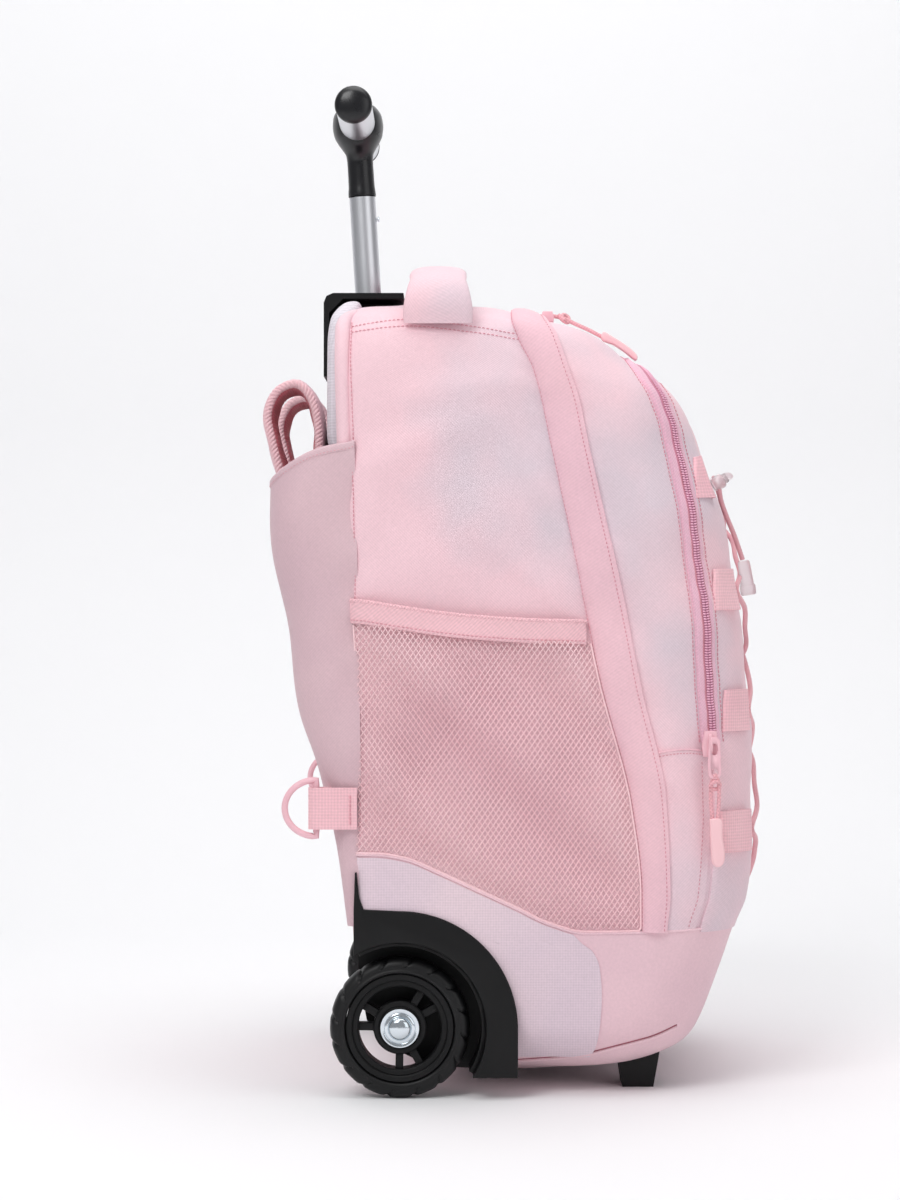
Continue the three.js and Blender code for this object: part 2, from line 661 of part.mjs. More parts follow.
// D-rings, each in a folded webbing tab at the lower back
function makeRing(side, sign) {
  const y = sign * RING.y;
  const points = [];
  for (let step = 0; step <= 8; step += 1) {
    const angle = Math.PI / 2 + step / 8 * Math.PI;
    points.push(new THREE.Vector3(
      RING.x + Math.cos(angle) * RING.reach,
      y,
      RING.z + Math.sin(angle) * RING.half,
    ));
  }
  const count = 6;
  const ringAt = (centre, along) => {
    const across = new THREE.Vector3(0, 1, 0);
    const up = new THREE.Vector3().crossVectors(along, across);
    return Array.from({ length: count }, (_, i) => {
      const angle = i / count * Math.PI * 2;
      return centre.clone()
        .addScaledVector(across, RING.wire * Math.cos(angle))
        .addScaledVector(up, RING.wire * Math.sin(angle));
    });
  };
  const positions = [];
  const index = [];
  points.forEach((point, i) => {
    const before = points[(i + points.length - 1) % points.length];
    const after = points[(i + 1) % points.length];
    const along = after.clone().sub(point).normalize().add(point.clone().sub(before).normalize()).normalize();
    for (const vertex of ringAt(point, along)) {
      positions.push(vertex.x, vertex.y, vertex.z);
    }
    for (let j = 0; j < count; j += 1) {
      const a = i * count + j;
      const b = i * count + (j + 1) % count;
      const c = ((i + 1) % points.length) * count + j;
      const d = ((i + 1) % points.length) * count + (j + 1) % count;
      index.push(a, b, d, a, d, c);
    }
  });
  const geometry = new THREE.BufferGeometry();
  geometry.setAttribute('position', new THREE.Float32BufferAttribute(positions, 3));
  geometry.setIndex(index);
  place(`d_ring_${side}`, geometry, pinkPlastic());

  const half = 13;
  const tabShape = [
    [RING.x - 4.2, RING.y - 1.4], [RING.x - 3, RING.y + 3.4], [RING.x, RING.y + 4.4], [-101, RING.y + 3.6],
    [MESH.back, RING.y + 3], [MESH.back, RING.y - 8], [RING.x + 8, RING.y - 8], [RING.x, RING.y - 4.2],
    [RING.x - 3, RING.y - 3.6],
  ];
  const plan = new THREE.ExtrudeGeometry(shapeOf(tabShape.map(([x, yy]) => [x, sign * yy])), {
    depth: half * 2,
    bevelEnabled: false,
  });
  plan.translate(0, 0, RING.z - half);
  const slot = new THREE.CylinderGeometry(RING.wire + 0.6, RING.wire + 0.6, half * 4, 12);
  slot.rotateX(Math.PI / 2);
  slot.translate(RING.x, y, RING.z);
  const tab = solidOf(plan).subtract(solidOf(slot)).subtract(skin).subtract(coverForm(-GAP));
  place(`d_ring_tab_${side}`, tab, webbingYarn());
}
for (const { side, sign } of SIDES) {
  makeRing(side, sign);
}

// Front: webbing loops and the elastic cord laced through them
const LOOPS = [
  { z: 374, from: 110.5 },
  { z: 306, from: 120.5 },
  { z: 233, from: 127 },
  { z: 160, from: 125 },
];
const LOOP_PROUD = 1.5;
const LOOP_END = 95.2;

function makeLoops() {
  LOOPS.forEach(({ z, from }, index) => {
    for (const { side, sign } of SIDES) {
      const [low, high] = span(sign, LOOP_END, FAR);
      const loop = form(LOOP_PROUD + 4.4).subtract(form(LOOP_PROUD + GAP))
        .intersect(box(from, FAR, low, high, z - WEBBING / 2, z + WEBBING / 2));
      place(`web_loop_${side}_${index + 1}`, loop, webbingYarn());
    }
  });
}
makeLoops();

// The front face at a height and a distance from the middle, outside everything but the webbing.
function frontFace(y, z) {
  const front = between(FORM, 'z', z, 'front') + LOOP_PROUD;
  const flat = between(FORM, 'z', z, 'half') - between(FORM, 'z', z, 'frontRound');
  const share = Math.min(1, Math.abs(y) / flat);
  return front + CROWN * (1 - share * share);
}

const LOCK = { x: 130.2, y: -89, z: 373.5 };

function makeLacing() {
  const turn = LOOP_END - CORD_RADIUS - 0.6;
  const stand = CORD_RADIUS + GAP + 0.5;
  const leg = (from, to, lift) => [0.15, 0.32, 0.5, 0.68, 0.85].map((share) => {
    const y = from.y + (to.y - from.y) * share;
    const z = from.z + (to.z - from.z) * share;
    const rise = share === 0.5 ? lift : lift * 0.4;
    return [frontFace(y, z) + stand + rise, y, z];
  });
  const at = (sign, index) => ({ y: sign * turn, z: LOOPS[index].z });
  const post = ({ y, z }) => [[frontFace(y, z) + stand, y, z]];
  const foot = { y: 0, z: 112 };
  const stops = [
    { y: LOCK.y + 6.5, z: LOCK.z - 2 }, at(1, 1), at(-1, 2), at(1, 3), foot, at(-1, 3), at(1, 2), at(-1, 1), at(1, 0),
    { y: LOCK.y + 6.5, z: LOCK.z + 2.5 },
  ];
  const points = [];
  stops.forEach((stop, i) => {
    points.push(...post(stop));
    if (i + 1 < stops.length) {
      points.push(...leg(stop, stops[i + 1], i > 4 && i < 8 ? CORD_RADIUS * 2 + GAP + 0.4 : 0));
    }
  });
  place('lacing_cord', cordAlong(points, CORD_RADIUS, 56, 6), cordYarn());
}
makeLacing();

// Cord lock with the two free ends of the cord and their moulded cover
const TAIL = [[130, 368.6], [131, 362], [134.5, 352], [139, 341], [142.5, 331], [144.5, 325]];
function makeCordLock() {
  const { x: lockX, y, z: lockZ } = LOCK;
  const lock = new THREE.SphereGeometry(1, 10, 6);
  lock.scale(5.5, 5.6, 4.6);
  lock.translate(lockX, y, lockZ);
  place('cord_lock', lock, clearPlastic());
  [-2, 2].forEach((shift, index) => {
    const points = TAIL.map(([x, z], i) => [x, y + shift * (i === TAIL.length - 1 ? 1 : 1.2), z]);
    place(`cord_tail_${index + 1}`, cordAlong(points, 1.3, 8), cordYarn());
  });
  const end = new THREE.LatheGeometry([
    [0, 0], [4.2, 0], [4.8, 3], [4.8, 17], [3.2, 21], [0, 21.6],
  ].map(([r, h]) => new THREE.Vector2(r, h)), 12);
  end.rotateX(-Math.PI / 2);
  end.rotateY(-0.16);
  end.translate(145, y, 324.4);
  place('cord_end', end, clearPlastic());
}
makeCordLock();

// Zip sliders with cord pulls
function makePulls() {
  const y = -150.5;
  const slider = box(115, 123, y, y + 4.4, 206, 222).subtract(form(1.5 + 1.3 + GAP));
  place('pocket_zip_slider', slider, pinkPlastic());
  const pullTab = box(117.5, 124.5, y - 2.6, y - GAP, 196, 214);
  place('pocket_pull_tab', pullTab, pinkPlastic());
  const loop = [[120, 168.5], [119, 180], [119.4, 190], [121.5, 194.6], [123.6, 190], [124, 180], [123.2, 168.5]];
  place('pocket_pull_cord', cordAlong(loop.map(([x, z]) => [x, y - 1.6, z]), 1.1, 12, 6), cordYarn());
  const end = sidePrism([
    [118, 168], [125, 168], [127, 146], [125.5, 141.5], [121.5, 140.5], [119.4, 144],
  ], y - 4, y + 0.6);
  place('pocket_pull_end', end, pinkPlastic());

  const topY = -75;
  const topSlider = box(20, 27, topY - 4, topY + 4, 470, 481).subtract(form(3 + GAP));
  place('main_zip_slider', topSlider, pinkPlastic());
  const pull = [[27.6, 477.4], [33, 476.4], [41, 473], [49, 469.4], [56, 465.6]];
  place('main_pull_cord', cordAlong(pull.map(([x, z]) => [x, topY, z]), 1.6, 7, 6), cordYarn());
  const paddle = sidePrism([
    [57.4, 467.4], [58.6, 468.2], [68, 462.6], [78, 455], [80, 451], [78.6, 449.4], [74, 452], [66, 457.6], [57.2, 462.4],
  ], topY - 4, topY + 4);
  place('main_pull_end', paddle.subtract(skin), pinkPlastic());
}
makePulls();

// Feet under the front of the base
for (const { side, sign } of SIDES) {
  const [low, high] = span(sign, FOOT.y - FOOT.half, FOOT.y + FOOT.half);
  const foot = sidePrism([
    [FOOT.backFoot, 0], [FOOT.frontFoot, 0], [FOOT.frontTop, FOOT.top], [FOOT.backTop, FOOT.top],
  ], low, high).subtract(skin);
  place(`foot_${side}`, foot, blackPlastic());
}

export default bag;
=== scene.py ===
"""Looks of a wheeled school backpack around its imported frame: sewn panels, net pockets, zips, laced cord,
folded-away straps, trolley grip and wheels. Sizes in the tables are millimetres in the part's own frame."""

import math

import bmesh
import bpy
import numpy as np
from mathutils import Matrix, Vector


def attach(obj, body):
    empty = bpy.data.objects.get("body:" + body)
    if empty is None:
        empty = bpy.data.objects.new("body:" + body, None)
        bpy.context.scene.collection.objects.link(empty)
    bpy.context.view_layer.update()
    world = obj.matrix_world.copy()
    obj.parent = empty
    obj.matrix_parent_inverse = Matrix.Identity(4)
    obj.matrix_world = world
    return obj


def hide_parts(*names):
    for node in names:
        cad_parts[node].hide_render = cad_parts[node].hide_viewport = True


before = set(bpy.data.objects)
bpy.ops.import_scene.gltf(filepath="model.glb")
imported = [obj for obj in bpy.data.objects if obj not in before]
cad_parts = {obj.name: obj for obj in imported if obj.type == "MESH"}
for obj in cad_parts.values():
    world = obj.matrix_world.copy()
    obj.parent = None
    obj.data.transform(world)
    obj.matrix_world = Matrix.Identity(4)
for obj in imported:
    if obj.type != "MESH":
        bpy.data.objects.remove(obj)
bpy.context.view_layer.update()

MM = 0.001
TURN = math.pi * 2
UP = np.array([0.0, 0.0, 1.0])

# Camera at the height of the bag's middle, looking square at its left side
CAMERA_AT = (-33, -1850, 300)
LENS_MM = 85
SENSOR_MM = 36
FRAME_SHIFT = -7 / 1200

# The bag's outer form at each height: back and front faces, half width, radii of the upright edges
CROWN = 5
FORM = (
    (9, -34, 28, 86, 20, 22),
    (18, -54, 88, 120, 22, 44),
    (30, -76, 109, 138, 18, 54),
    (43, -87, 116.5, 145, 12, 55),
    (72, -91, 127.5, 148, 10, 55),
    (103, -95, 138.5, 150, 8, 55),
    (118, -95, 144.5, 150, 8, 55),
    (146, -95, 147.5, 150, 8, 55),
    (219, -96, 146, 150, 8, 55),
    (334, -98, 134, 150, 8, 55),
    (392, -99.5, 116, 148, 8, 55),
    (427, -100.5, 99, 146, 8, 55),
    (448, -101, 73, 143, 10, 52),
    (462, -101, 54, 139, 13, 48),
    (470, -101, 34, 133, 18, 44),
    (477, -98, 2, 120, 20, 36),
    (485, -84, -22, 72, 24, 26),
    (489, -72, -38, 40, 14, 14),
)
# Seams seen from the side: height, back and front edges of the rain flap, front pocket seam
SEAMS = (
    (60, 78, 93, 113),
    (100, 78, 93, 113),
    (123, 78, 95, 119),
    (177, 72, 93, 122),
    (251, 53, 77, 118),
    (289, 45, 70, 115),
    (325, 38, 62, 110.5),
    (400, 22, 45, 98),
    (420, 18, 41, 91.5),
    (440, 12.5, 34, 83),
    (458, 4, 27, 74),
    (472, 0, 21, 66),
    (520, 0, 21, 66),
)
# Upper edge of the base: distance forwards, height
BASE_EDGE = (
    (-140, 147), (-83, 147), (-65, 144.5), (-44, 136), (-22, 126), (1, 115.5), (22, 105.5), (44, 100),
    (117, 102), (170, 106),
)
# Strap cover on the back: height, how far it stands out
COVER = ((104, -99), (150, -105.5), (193, -116), (233, -128), (299, -139.5), (371, -148), (400, -149))
WHEEL = {"x": -67.4, "z": 42.5, "radius": 42.5, "inner": 128, "outer": 149}
POLE = {"x": -90.8, "z": 497, "lean": math.radians(3.49), "radius": 8.5, "top": 66, "bottom": -377}
GRIP = {"z": 112, "radius": 11.4, "half": 82, "cap": 6}
SIDES = (("left", -1), ("right", 1))


# Shape helpers

def curve_through(keys, values):
    """A smooth curve through a table's rows that never overshoots them."""
    keys = np.array(keys, float)
    values = np.array(values, float)
    step = np.diff(keys)
    slope = np.diff(values) / step
    lean = np.zeros(len(keys))
    both = slope[:-1] * slope[1:]
    total = np.where(both > 0, slope[:-1] + slope[1:], 1)
    lean[1:-1] = np.where(both > 0, 2 * both / total, 0)
    lean[0] = slope[0]
    lean[-1] = slope[-1]

    def at(where):
        where = np.clip(where, keys[0], keys[-1])
        i = np.clip(np.searchsorted(keys, where) - 1, 0, len(step) - 1)
        t = (where - keys[i]) / step[i]
        a = (2 * t ** 3 - 3 * t ** 2 + 1) * values[i] + (3 * t ** 2 - 2 * t ** 3) * values[i + 1]
        b = (t ** 3 - 2 * t ** 2 + t) * lean[i] + (t ** 3 - t ** 2) * lean[i + 1]
        return a + b * step[i]
    return at


def table_curves(rows):
    columns = list(zip(*rows))
    return [curve_through(columns[0], column) for column in columns[1:]]


BACK, FRONT, HALF, BACK_ROUND, FRONT_ROUND = table_curves(FORM)
FLAP_BACK, FLAP_FRONT, POCKET = table_curves(SEAMS)
BASE_TOP = table_curves(BASE_EDGE)[0]
COVER_OUT = table_curves(COVER)[0]
TOP_Z = FORM[-1][0]
LOW_Z = FORM[0][0]


def form_gap(p):
    """How far points stand outside the bag's bare form, level by level."""
    x, z = p[..., 0], p[..., 2]
    y = np.abs(p[..., 1])
    back, front, half = BACK(z), FRONT(z), HALF(z)
    middle, reach = (front + back) / 2, (front - back) / 2
    flat = half - FRONT_ROUND(z)
    rise = np.clip((x - middle) / reach, 0, 1)
    x = x - CROWN * np.clip(1 - (y / flat) ** 2, 0, 1) * rise ** 2
    radius = np.where(x > middle, FRONT_ROUND(z), BACK_ROUND(z))
    radius = np.minimum(radius, np.minimum(half, reach))
    qx = np.abs(x - middle) - (reach - radius)
    qy = y - (half - radius)
    gap = np.hypot(np.maximum(qx, 0), np.maximum(qy, 0)) + np.minimum(np.maximum(qx, qy), 0) - radius
    return np.where(z > TOP_Z, np.maximum(gap, z - TOP_Z), gap)


def form_normal(p, reach=0.6):
    steps = np.eye(3) * reach
    slope = np.stack([form_gap(p + s) - form_gap(p - s) for s in steps], -1)
    return slope / np.maximum(np.linalg.norm(slope, axis=-1, keepdims=True), 1e-9)


def wave(p, heading, length, phase=0.0):
    return np.sin(TURN * (p @ np.array(heading, float)) / length + phase)


# Soft creases seen from the side: forwards, height, angle, half length, half width, depth
CREASES = (
    (26, 352, -62, 34, 7, 1.6),
    (8, 318, -40, 30, 8, 1.2),
    (-62, 392, 24, 44, 10, 1.3),
    (-30, 428, 8, 52, 9, 1.2),
    (74, 262, -58, 30, 7, 1.4),
    (92, 214, -64, 26, 7, 1.8),
    (104, 180, -50, 22, 6, 1.6),
    (60, 330, -52, 36, 8, 1.4),
    (84, 356, -70, 40, 8, 1.2),
    (100, 128, -80, 26, 7, 1.4),
    (-84, 352, 84, 20, 5, 1.2),
    (-85, 306, 84, 16, 5, 1.0),
)


def folds(p):
    """How far the cloth stands proud of the bare form: a slow billow, light folds and named creases."""
    x, y, z = p[..., 0], p[..., 1], p[..., 2]
    bend = 9 * wave(p, (0.3, 0.5, 0.8), 190, 1.0)
    q = p + bend[..., None] * np.array([0.6, 0.2, 0.5])
    proud = 0.85 * wave(q, (0.80, 0.35, 0.45), 84, 0.4) + 0.65 * wave(q, (-0.55, 0.30, 0.75), 57, 2.1)
    proud = proud + 0.28 * wave(q, (0.3, -0.7, 0.6), 31, 0.9)
    side = np.clip((np.abs(y) - 96) / 30, 0, 1)
    for cx, cz, angle, length, width, depth in CREASES:
        turn = math.radians(angle)
        along = (x - cx) * math.cos(turn) + (z - cz) * math.sin(turn)
        across = (z - cz) * math.cos(turn) - (x - cx) * math.sin(turn) + 0.0016 * along ** 2
        ridge = np.exp(-(along / length) ** 2) * np.exp(-(across / width) ** 2)
        proud = proud + 1.5 * side * depth * ridge * np.where(y < 0, 1, 0.8)
    behind = np.clip((FLAP_BACK(z) - x) / 150, 0, 1)
    pillow = np.sin(np.pi * np.clip(behind, 0, 1)) * np.sin(np.pi * np.clip((z - 120) / 350, 0, 1))
    proud = proud + side * 2.4 * pillow
    seam = np.exp(-(np.abs(x - FLAP_BACK(z) + 2) / 7) ** 2) + np.exp(-(np.abs(x - POCKET(z)) / 9) ** 2)
    seam = seam + 0.7 * np.exp(-(np.abs(x - FLAP_FRONT(z) - 3) / 8) ** 2)
    gathers = np.sin(z / 3.1 + 1.7 * np.sin(z / 17.0) + x / 9.0)
    proud = proud - side * seam * (0.9 - 0.35 * gathers)
    calm = np.clip((z - 150) / 40, 0.25, 1)
    return proud * calm


def dressed(p, lift=0.0):
    """Points of the bare form moved out to the folded cloth, and a lift above it."""
    normal = form_normal(p)
    return p + normal * (folds(p) + lift)[..., None], normal


def ring_point(share, z):
    """The bare form's point at a share of the way from the back's middle (0) to the front's (1 or -1)."""
    share, z = np.broadcast_arrays(np.asarray(share, float), np.asarray(z, float))
    back, front, half = BACK(z), FRONT(z), HALF(z)
    reach = (front - back) / 2
    rb = np.minimum(BACK_ROUND(z), np.minimum(half, reach))
    rf = np.minimum(FRONT_ROUND(z), np.minimum(half, reach))
    parts = [half - rb, rb * math.pi / 2, front - back - rb - rf, rf * math.pi / 2, half - rf]
    whole = sum(parts)
    s = np.abs(share) * whole
    marks = np.cumsum(parts, axis=0)
    turn_b = np.clip((s - marks[0]) / np.maximum(rb, 1e-6), 0, math.pi / 2)
    turn_f = np.clip((s - marks[2]) / np.maximum(rf, 1e-6), 0, math.pi / 2)
    run = np.clip(s - marks[1], 0, parts[2])
    x = back + rb * (1 - np.cos(turn_b)) + run + rf * np.sin(turn_f)
    y = np.minimum(s, parts[0]) + rb * np.sin(turn_b)
    y = y - rf * (1 - np.cos(turn_f)) - np.maximum(s - marks[3], 0)
    at_front = np.clip((s - marks[3]) / np.maximum(parts[4], 1e-6), 0, 1)
    x = x + CROWN * np.where(s > marks[3], 1 - (1 - at_front) ** 2, 0)
    return np.stack([x, y * np.where(share < 0, -1, 1), z], -1), s * np.where(share < 0, -1, 1)


def land(x_at, start_y, start_z, head_y, head_z, reach=300):
    """Where rays in the plane across the bag meet the bare form; x_at gives the seam's place at a height."""
    near = np.zeros(np.broadcast(start_y, start_z, head_y).shape)
    far = near + reach
    for _ in range(34):
        half_way = (near + far) / 2
        y = start_y + head_y * half_way
        z = start_z + head_z * half_way
        inside = form_gap(np.stack([x_at(z), y, z], -1)) < 0
        near = np.where(inside, half_way, near)
        far = np.where(inside, far, half_way)
    y = start_y + head_y * near
    z = start_z + head_z * near
    return np.stack([x_at(z), y, z], -1)


def over_the_bag(x_at, low, fan_y, fan_z, spacing, high=None):
    """Evenly spaced points of a seam that climbs one side, crosses the top and comes down the other."""
    climb = np.linspace(low, fan_z, 300)
    turn = np.linspace(0, math.pi / 2, 220)[1:]
    across = np.linspace(-fan_y, 0, 160)[1:]
    start_y = np.concatenate([0 * climb, -fan_y + 0 * turn, across])
    start_z = np.concatenate([climb, fan_z + 0 * turn, fan_z + 0 * across])
    head_y = np.concatenate([-1 + 0 * climb, -np.cos(turn), 0 * across])
    head_z = np.concatenate([0 * climb, np.sin(turn), 1 + 0 * across])
    line = land(x_at, start_y, start_z, head_y, head_z)
    run = np.concatenate([[0], np.cumsum(np.linalg.norm(np.diff(line, axis=0), axis=1))])
    marks = np.linspace(0, run[-1], int(run[-1] / spacing) + 1)
    rays = [np.interp(marks, run, column) for column in (start_y, start_z, head_y, head_z)]
    return rays, marks


def both_ways(line):
    """A line that ends at the bag's middle, carried on as its mirror image."""
    other = line[:-1][::-1].copy()
    other[..., 1] *= -1
    return np.concatenate([line, other])


def seam_strip(column, shifts, low, fan_y=70, fan_z=395, spacing=3.0):
    """Rows of bare-form points along a seam, one row per station, one column per shift forwards."""
    rays, marks = over_the_bag(lambda z: column(z), low, fan_y, fan_z, spacing)
    lines = [land(lambda z, s=shift: column(z) + s, *rays) for shift in shifts]
    return both_ways(np.stack(lines, 1))


def along(line):
    return np.concatenate([[0], np.cumsum(np.linalg.norm(np.diff(line, axis=0), axis=1))])


def smooth_line(points, spacing):
    """A smooth line through given points, resampled at an even spacing."""
    points = np.array(points, float)
    padded = np.concatenate([[2 * points[0] - points[1]], points, [2 * points[-1] - points[-2]]])
    out = []
    for i in range(1, len(padded) - 2):
        p0, p1, p2, p3 = padded[i - 1:i + 3]
        t0 = 0
        t1 = t0 + max(np.linalg.norm(p1 - p0), 1e-6) ** 0.5
        t2 = t1 + max(np.linalg.norm(p2 - p1), 1e-6) ** 0.5
        t3 = t2 + max(np.linalg.norm(p3 - p2), 1e-6) ** 0.5
        for t in np.linspace(t1, t2, 16, endpoint=False):
            a1 = (t1 - t) / (t1 - t0) * p0 + (t - t0) / (t1 - t0) * p1
            a2 = (t2 - t) / (t2 - t1) * p1 + (t - t1) / (t2 - t1) * p2
            a3 = (t3 - t) / (t3 - t2) * p2 + (t - t2) / (t3 - t2) * p3
            b1 = (t2 - t) / (t2 - t0) * a1 + (t - t0) / (t2 - t0) * a2
            b2 = (t3 - t) / (t3 - t1) * a2 + (t - t1) / (t3 - t1) * a3
            out.append((t2 - t) / (t2 - t1) * b1 + (t - t1) / (t2 - t1) * b2)
    out.append(points[-1])
    out = np.array(out)
    run = along(out)
    marks = np.linspace(0, run[-1], max(2, int(round(run[-1] / spacing)) + 1))
    return np.stack([np.interp(marks, run, out[:, k]) for k in range(out.shape[1])], -1)


def frames_along(line, first_up):
    """Tangent, up and side directions along a line, turning as little as they can."""
    tangent = np.gradient(line, axis=0)
    tangent /= np.maximum(np.linalg.norm(tangent, axis=1, keepdims=True), 1e-9)
    ups = []
    up = np.array(first_up, float)
    for t in tangent:
        up = up - t * (up @ t)
        up = up / max(np.linalg.norm(up), 1e-9)
        ups.append(up)
    ups = np.array(ups)
    return tangent, ups, np.cross(tangent, ups)


# Mesh helpers

def mesh_piece(name, points, faces, finish, cloth=None, crease=35):
    """A piece from points in millimetres; cloth gives the fabric's own across and along directions."""
    mesh = bpy.data.meshes.new(name)
    mesh.from_pydata((np.asarray(points, float).reshape(-1, 3) * MM).tolist(), [], faces)
    if cloth is not None:
        weave = mesh.attributes.new("cloth", "FLOAT_VECTOR", "POINT")
        flat = np.zeros((len(mesh.vertices), 3), np.float32)
        flat[:, :2] = np.asarray(cloth, float).reshape(-1, 2) * MM
        weave.data.foreach_set("vector", flat.ravel())
    mesh.validate()
    mesh.shade_smooth()
    if crease < 180:
        mesh.set_sharp_from_angle(angle=math.radians(crease))
    mesh.materials.append(finish)
    piece = bpy.data.objects.new(name, mesh)
    bpy.context.scene.collection.objects.link(piece)
    return piece


def grid_faces(rows, columns, wrap=False, first=0):
    faces = []
    for r in range(rows - 1):
        for c in range(columns if wrap else columns - 1):
            a = first + r * columns + c
            b = first + r * columns + (c + 1) % columns
            faces.append((a, b, b + columns, a + columns))
    return faces


def swept(rings):
    """Points and faces of a closed solid through equal rings, with flat ends."""
    rings = np.asarray(rings, float)
    rows, columns = rings.shape[:2]
    faces = grid_faces(rows, columns, wrap=True)
    faces.append(tuple(range(columns))[::-1])
    faces.append(tuple((rows - 1) * columns + c for c in range(columns)))
    return rings.reshape(-1, 3), faces


def gathered(parts):
    """Several point and face lists as one."""
    points, faces, start = [], [], 0
    for p, f in parts:
        points.append(np.asarray(p, float).reshape(-1, 3))
        faces.extend([tuple(i + start for i in face) for face in f])
        start += len(points[-1])
    return np.concatenate(points), faces


def sit(piece, body="bag", nodes=()):
    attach(piece, body)
    if nodes:
        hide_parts(*nodes)
    return piece


def round_rings(line, radius, sides, first_up=UP, wide=1.0):
    """Rings of a round or flattened tube along a line; radius may change along it."""
    tangent, up, side = frames_along(line, first_up)
    radius = np.broadcast_to(np.asarray(radius, float), (len(line),))
    angle = np.arange(sides) / sides * TURN
    offset = up[:, None] * np.sin(angle)[:, None] + side[:, None] * (np.cos(angle) * wide)[:, None]
    return line[:, None] + offset * radius[:, None, None]


def tube(name, line, radius, finish, sides=10, first_up=UP, wide=1.0):
    rings = round_rings(line, radius, sides, first_up, wide)
    run = along(line)
    cloth = np.stack(np.broadcast_arrays(np.arange(sides)[None] * np.max(radius) * TURN / sides,
                                         run[:, None]), -1)
    points, faces = swept(rings)
    return mesh_piece(name, points, faces, finish, cloth)


def turned_rings(profile, steps, axis_at, toward):
    """Rings of a profile of radius and distance, turned about the line through axis_at along toward."""
    toward = np.array(toward, float) / np.linalg.norm(toward)
    side = np.cross(toward, UP) if abs(toward[2]) < 0.9 else np.cross(toward, [0, 1, 0])
    side /= np.linalg.norm(side)
    other = np.cross(toward, side)
    angle = np.arange(steps) / steps * TURN
    circle = side[None] * np.cos(angle)[:, None] + other[None] * np.sin(angle)[:, None]
    return np.array([np.array(axis_at) + toward * d + circle * max(r, 0.02) for r, d in profile])


def slab(outline, low, high, axis, edge=0.0, steps=2):
    """Points and faces of a plate with rounded edges, from its outline in the side (1) or front (0) view."""
    made = bmesh.new()
    order = {1: lambda u, v, w: (u, w, v), 0: lambda u, v, w: (w, u, v), 2: lambda u, v, w: (u, v, w)}[axis]
    bottom = [made.verts.new(order(u, v, low)) for u, v in outline]
    face = made.faces.new(bottom)
    grown = bmesh.ops.extrude_face_region(made, geom=[face])
    shift = order(0, 0, high - low)
    bmesh.ops.translate(made, vec=shift, verts=[v for v in grown["geom"]
                                                if isinstance(v, bmesh.types.BMVert)])
    bmesh.ops.recalc_face_normals(made, faces=made.faces[:])
    if edge:
        rim = [e for e in made.edges if abs(e.verts[0].co[axis] - e.verts[1].co[axis]) < 1e-6]
        bmesh.ops.bevel(made, geom=rim, offset=edge, segments=steps, affect="EDGES", profile=0.5)
    made.verts.index_update()
    points = [v.co[:] for v in made.verts]
    faces = [tuple(v.index for v in f.verts) for f in made.faces]
    made.free()
    return np.array(points), faces


def arc(cx, cy, radius, start, end, steps):
    return [(cx + radius * math.cos(a), cy + radius * math.sin(a)) for a in np.linspace(start, end, steps)]


def cut_away(piece, tool):
    """Cuts a closed tool out of a closed piece and keeps the result as its mesh."""
    cut = piece.modifiers.new("cut", "BOOLEAN")
    cut.operation = "DIFFERENCE"
    cut.solver = "EXACT"
    cut.object = tool
    bpy.context.view_layer.update()
    graph = bpy.context.evaluated_depsgraph_get()
    made = bpy.data.meshes.new_from_object(piece.evaluated_get(graph))
    piece.modifiers.clear()
    piece.data = made
    bpy.data.objects.remove(tool)


# Finishes

def linear(code, alpha=1.0):
    """An sRGB hex colour as the linear values that a shader wants."""
    parts = [int(code[i:i + 2], 16) / 255 for i in (1, 3, 5)]
    return tuple(c / 12.92 if c <= 0.04045 else ((c + 0.055) / 1.055) ** 2.4 for c in parts) + (alpha,)


def add(tree, kind, options=None, values=None, links=None):
    """Adds one node with its options, socket values and links."""
    made = tree.nodes.new(kind)
    for key, value in (options or {}).items():
        setattr(made, key, value)
    for key, value in (values or {}).items():
        made.inputs[key].default_value = value
    for key, source in (links or {}).items():
        tree.links.new(source, made.inputs[key])
    return made


def new_finish(name, roughness, metallic=0.0, others=None):
    finish = bpy.data.materials.new(name)
    finish.use_nodes = True
    tree = finish.node_tree
    shader = tree.nodes["Principled BSDF"]
    shader.inputs["Roughness"].default_value = roughness
    shader.inputs["Metallic"].default_value = metallic
    for key, value in (others or {}).items():
        shader.inputs[key].default_value = value
    return finish, tree, shader


WAVE_PERIOD = 0.31416   # metres between two bands of a wave texture at scale 1


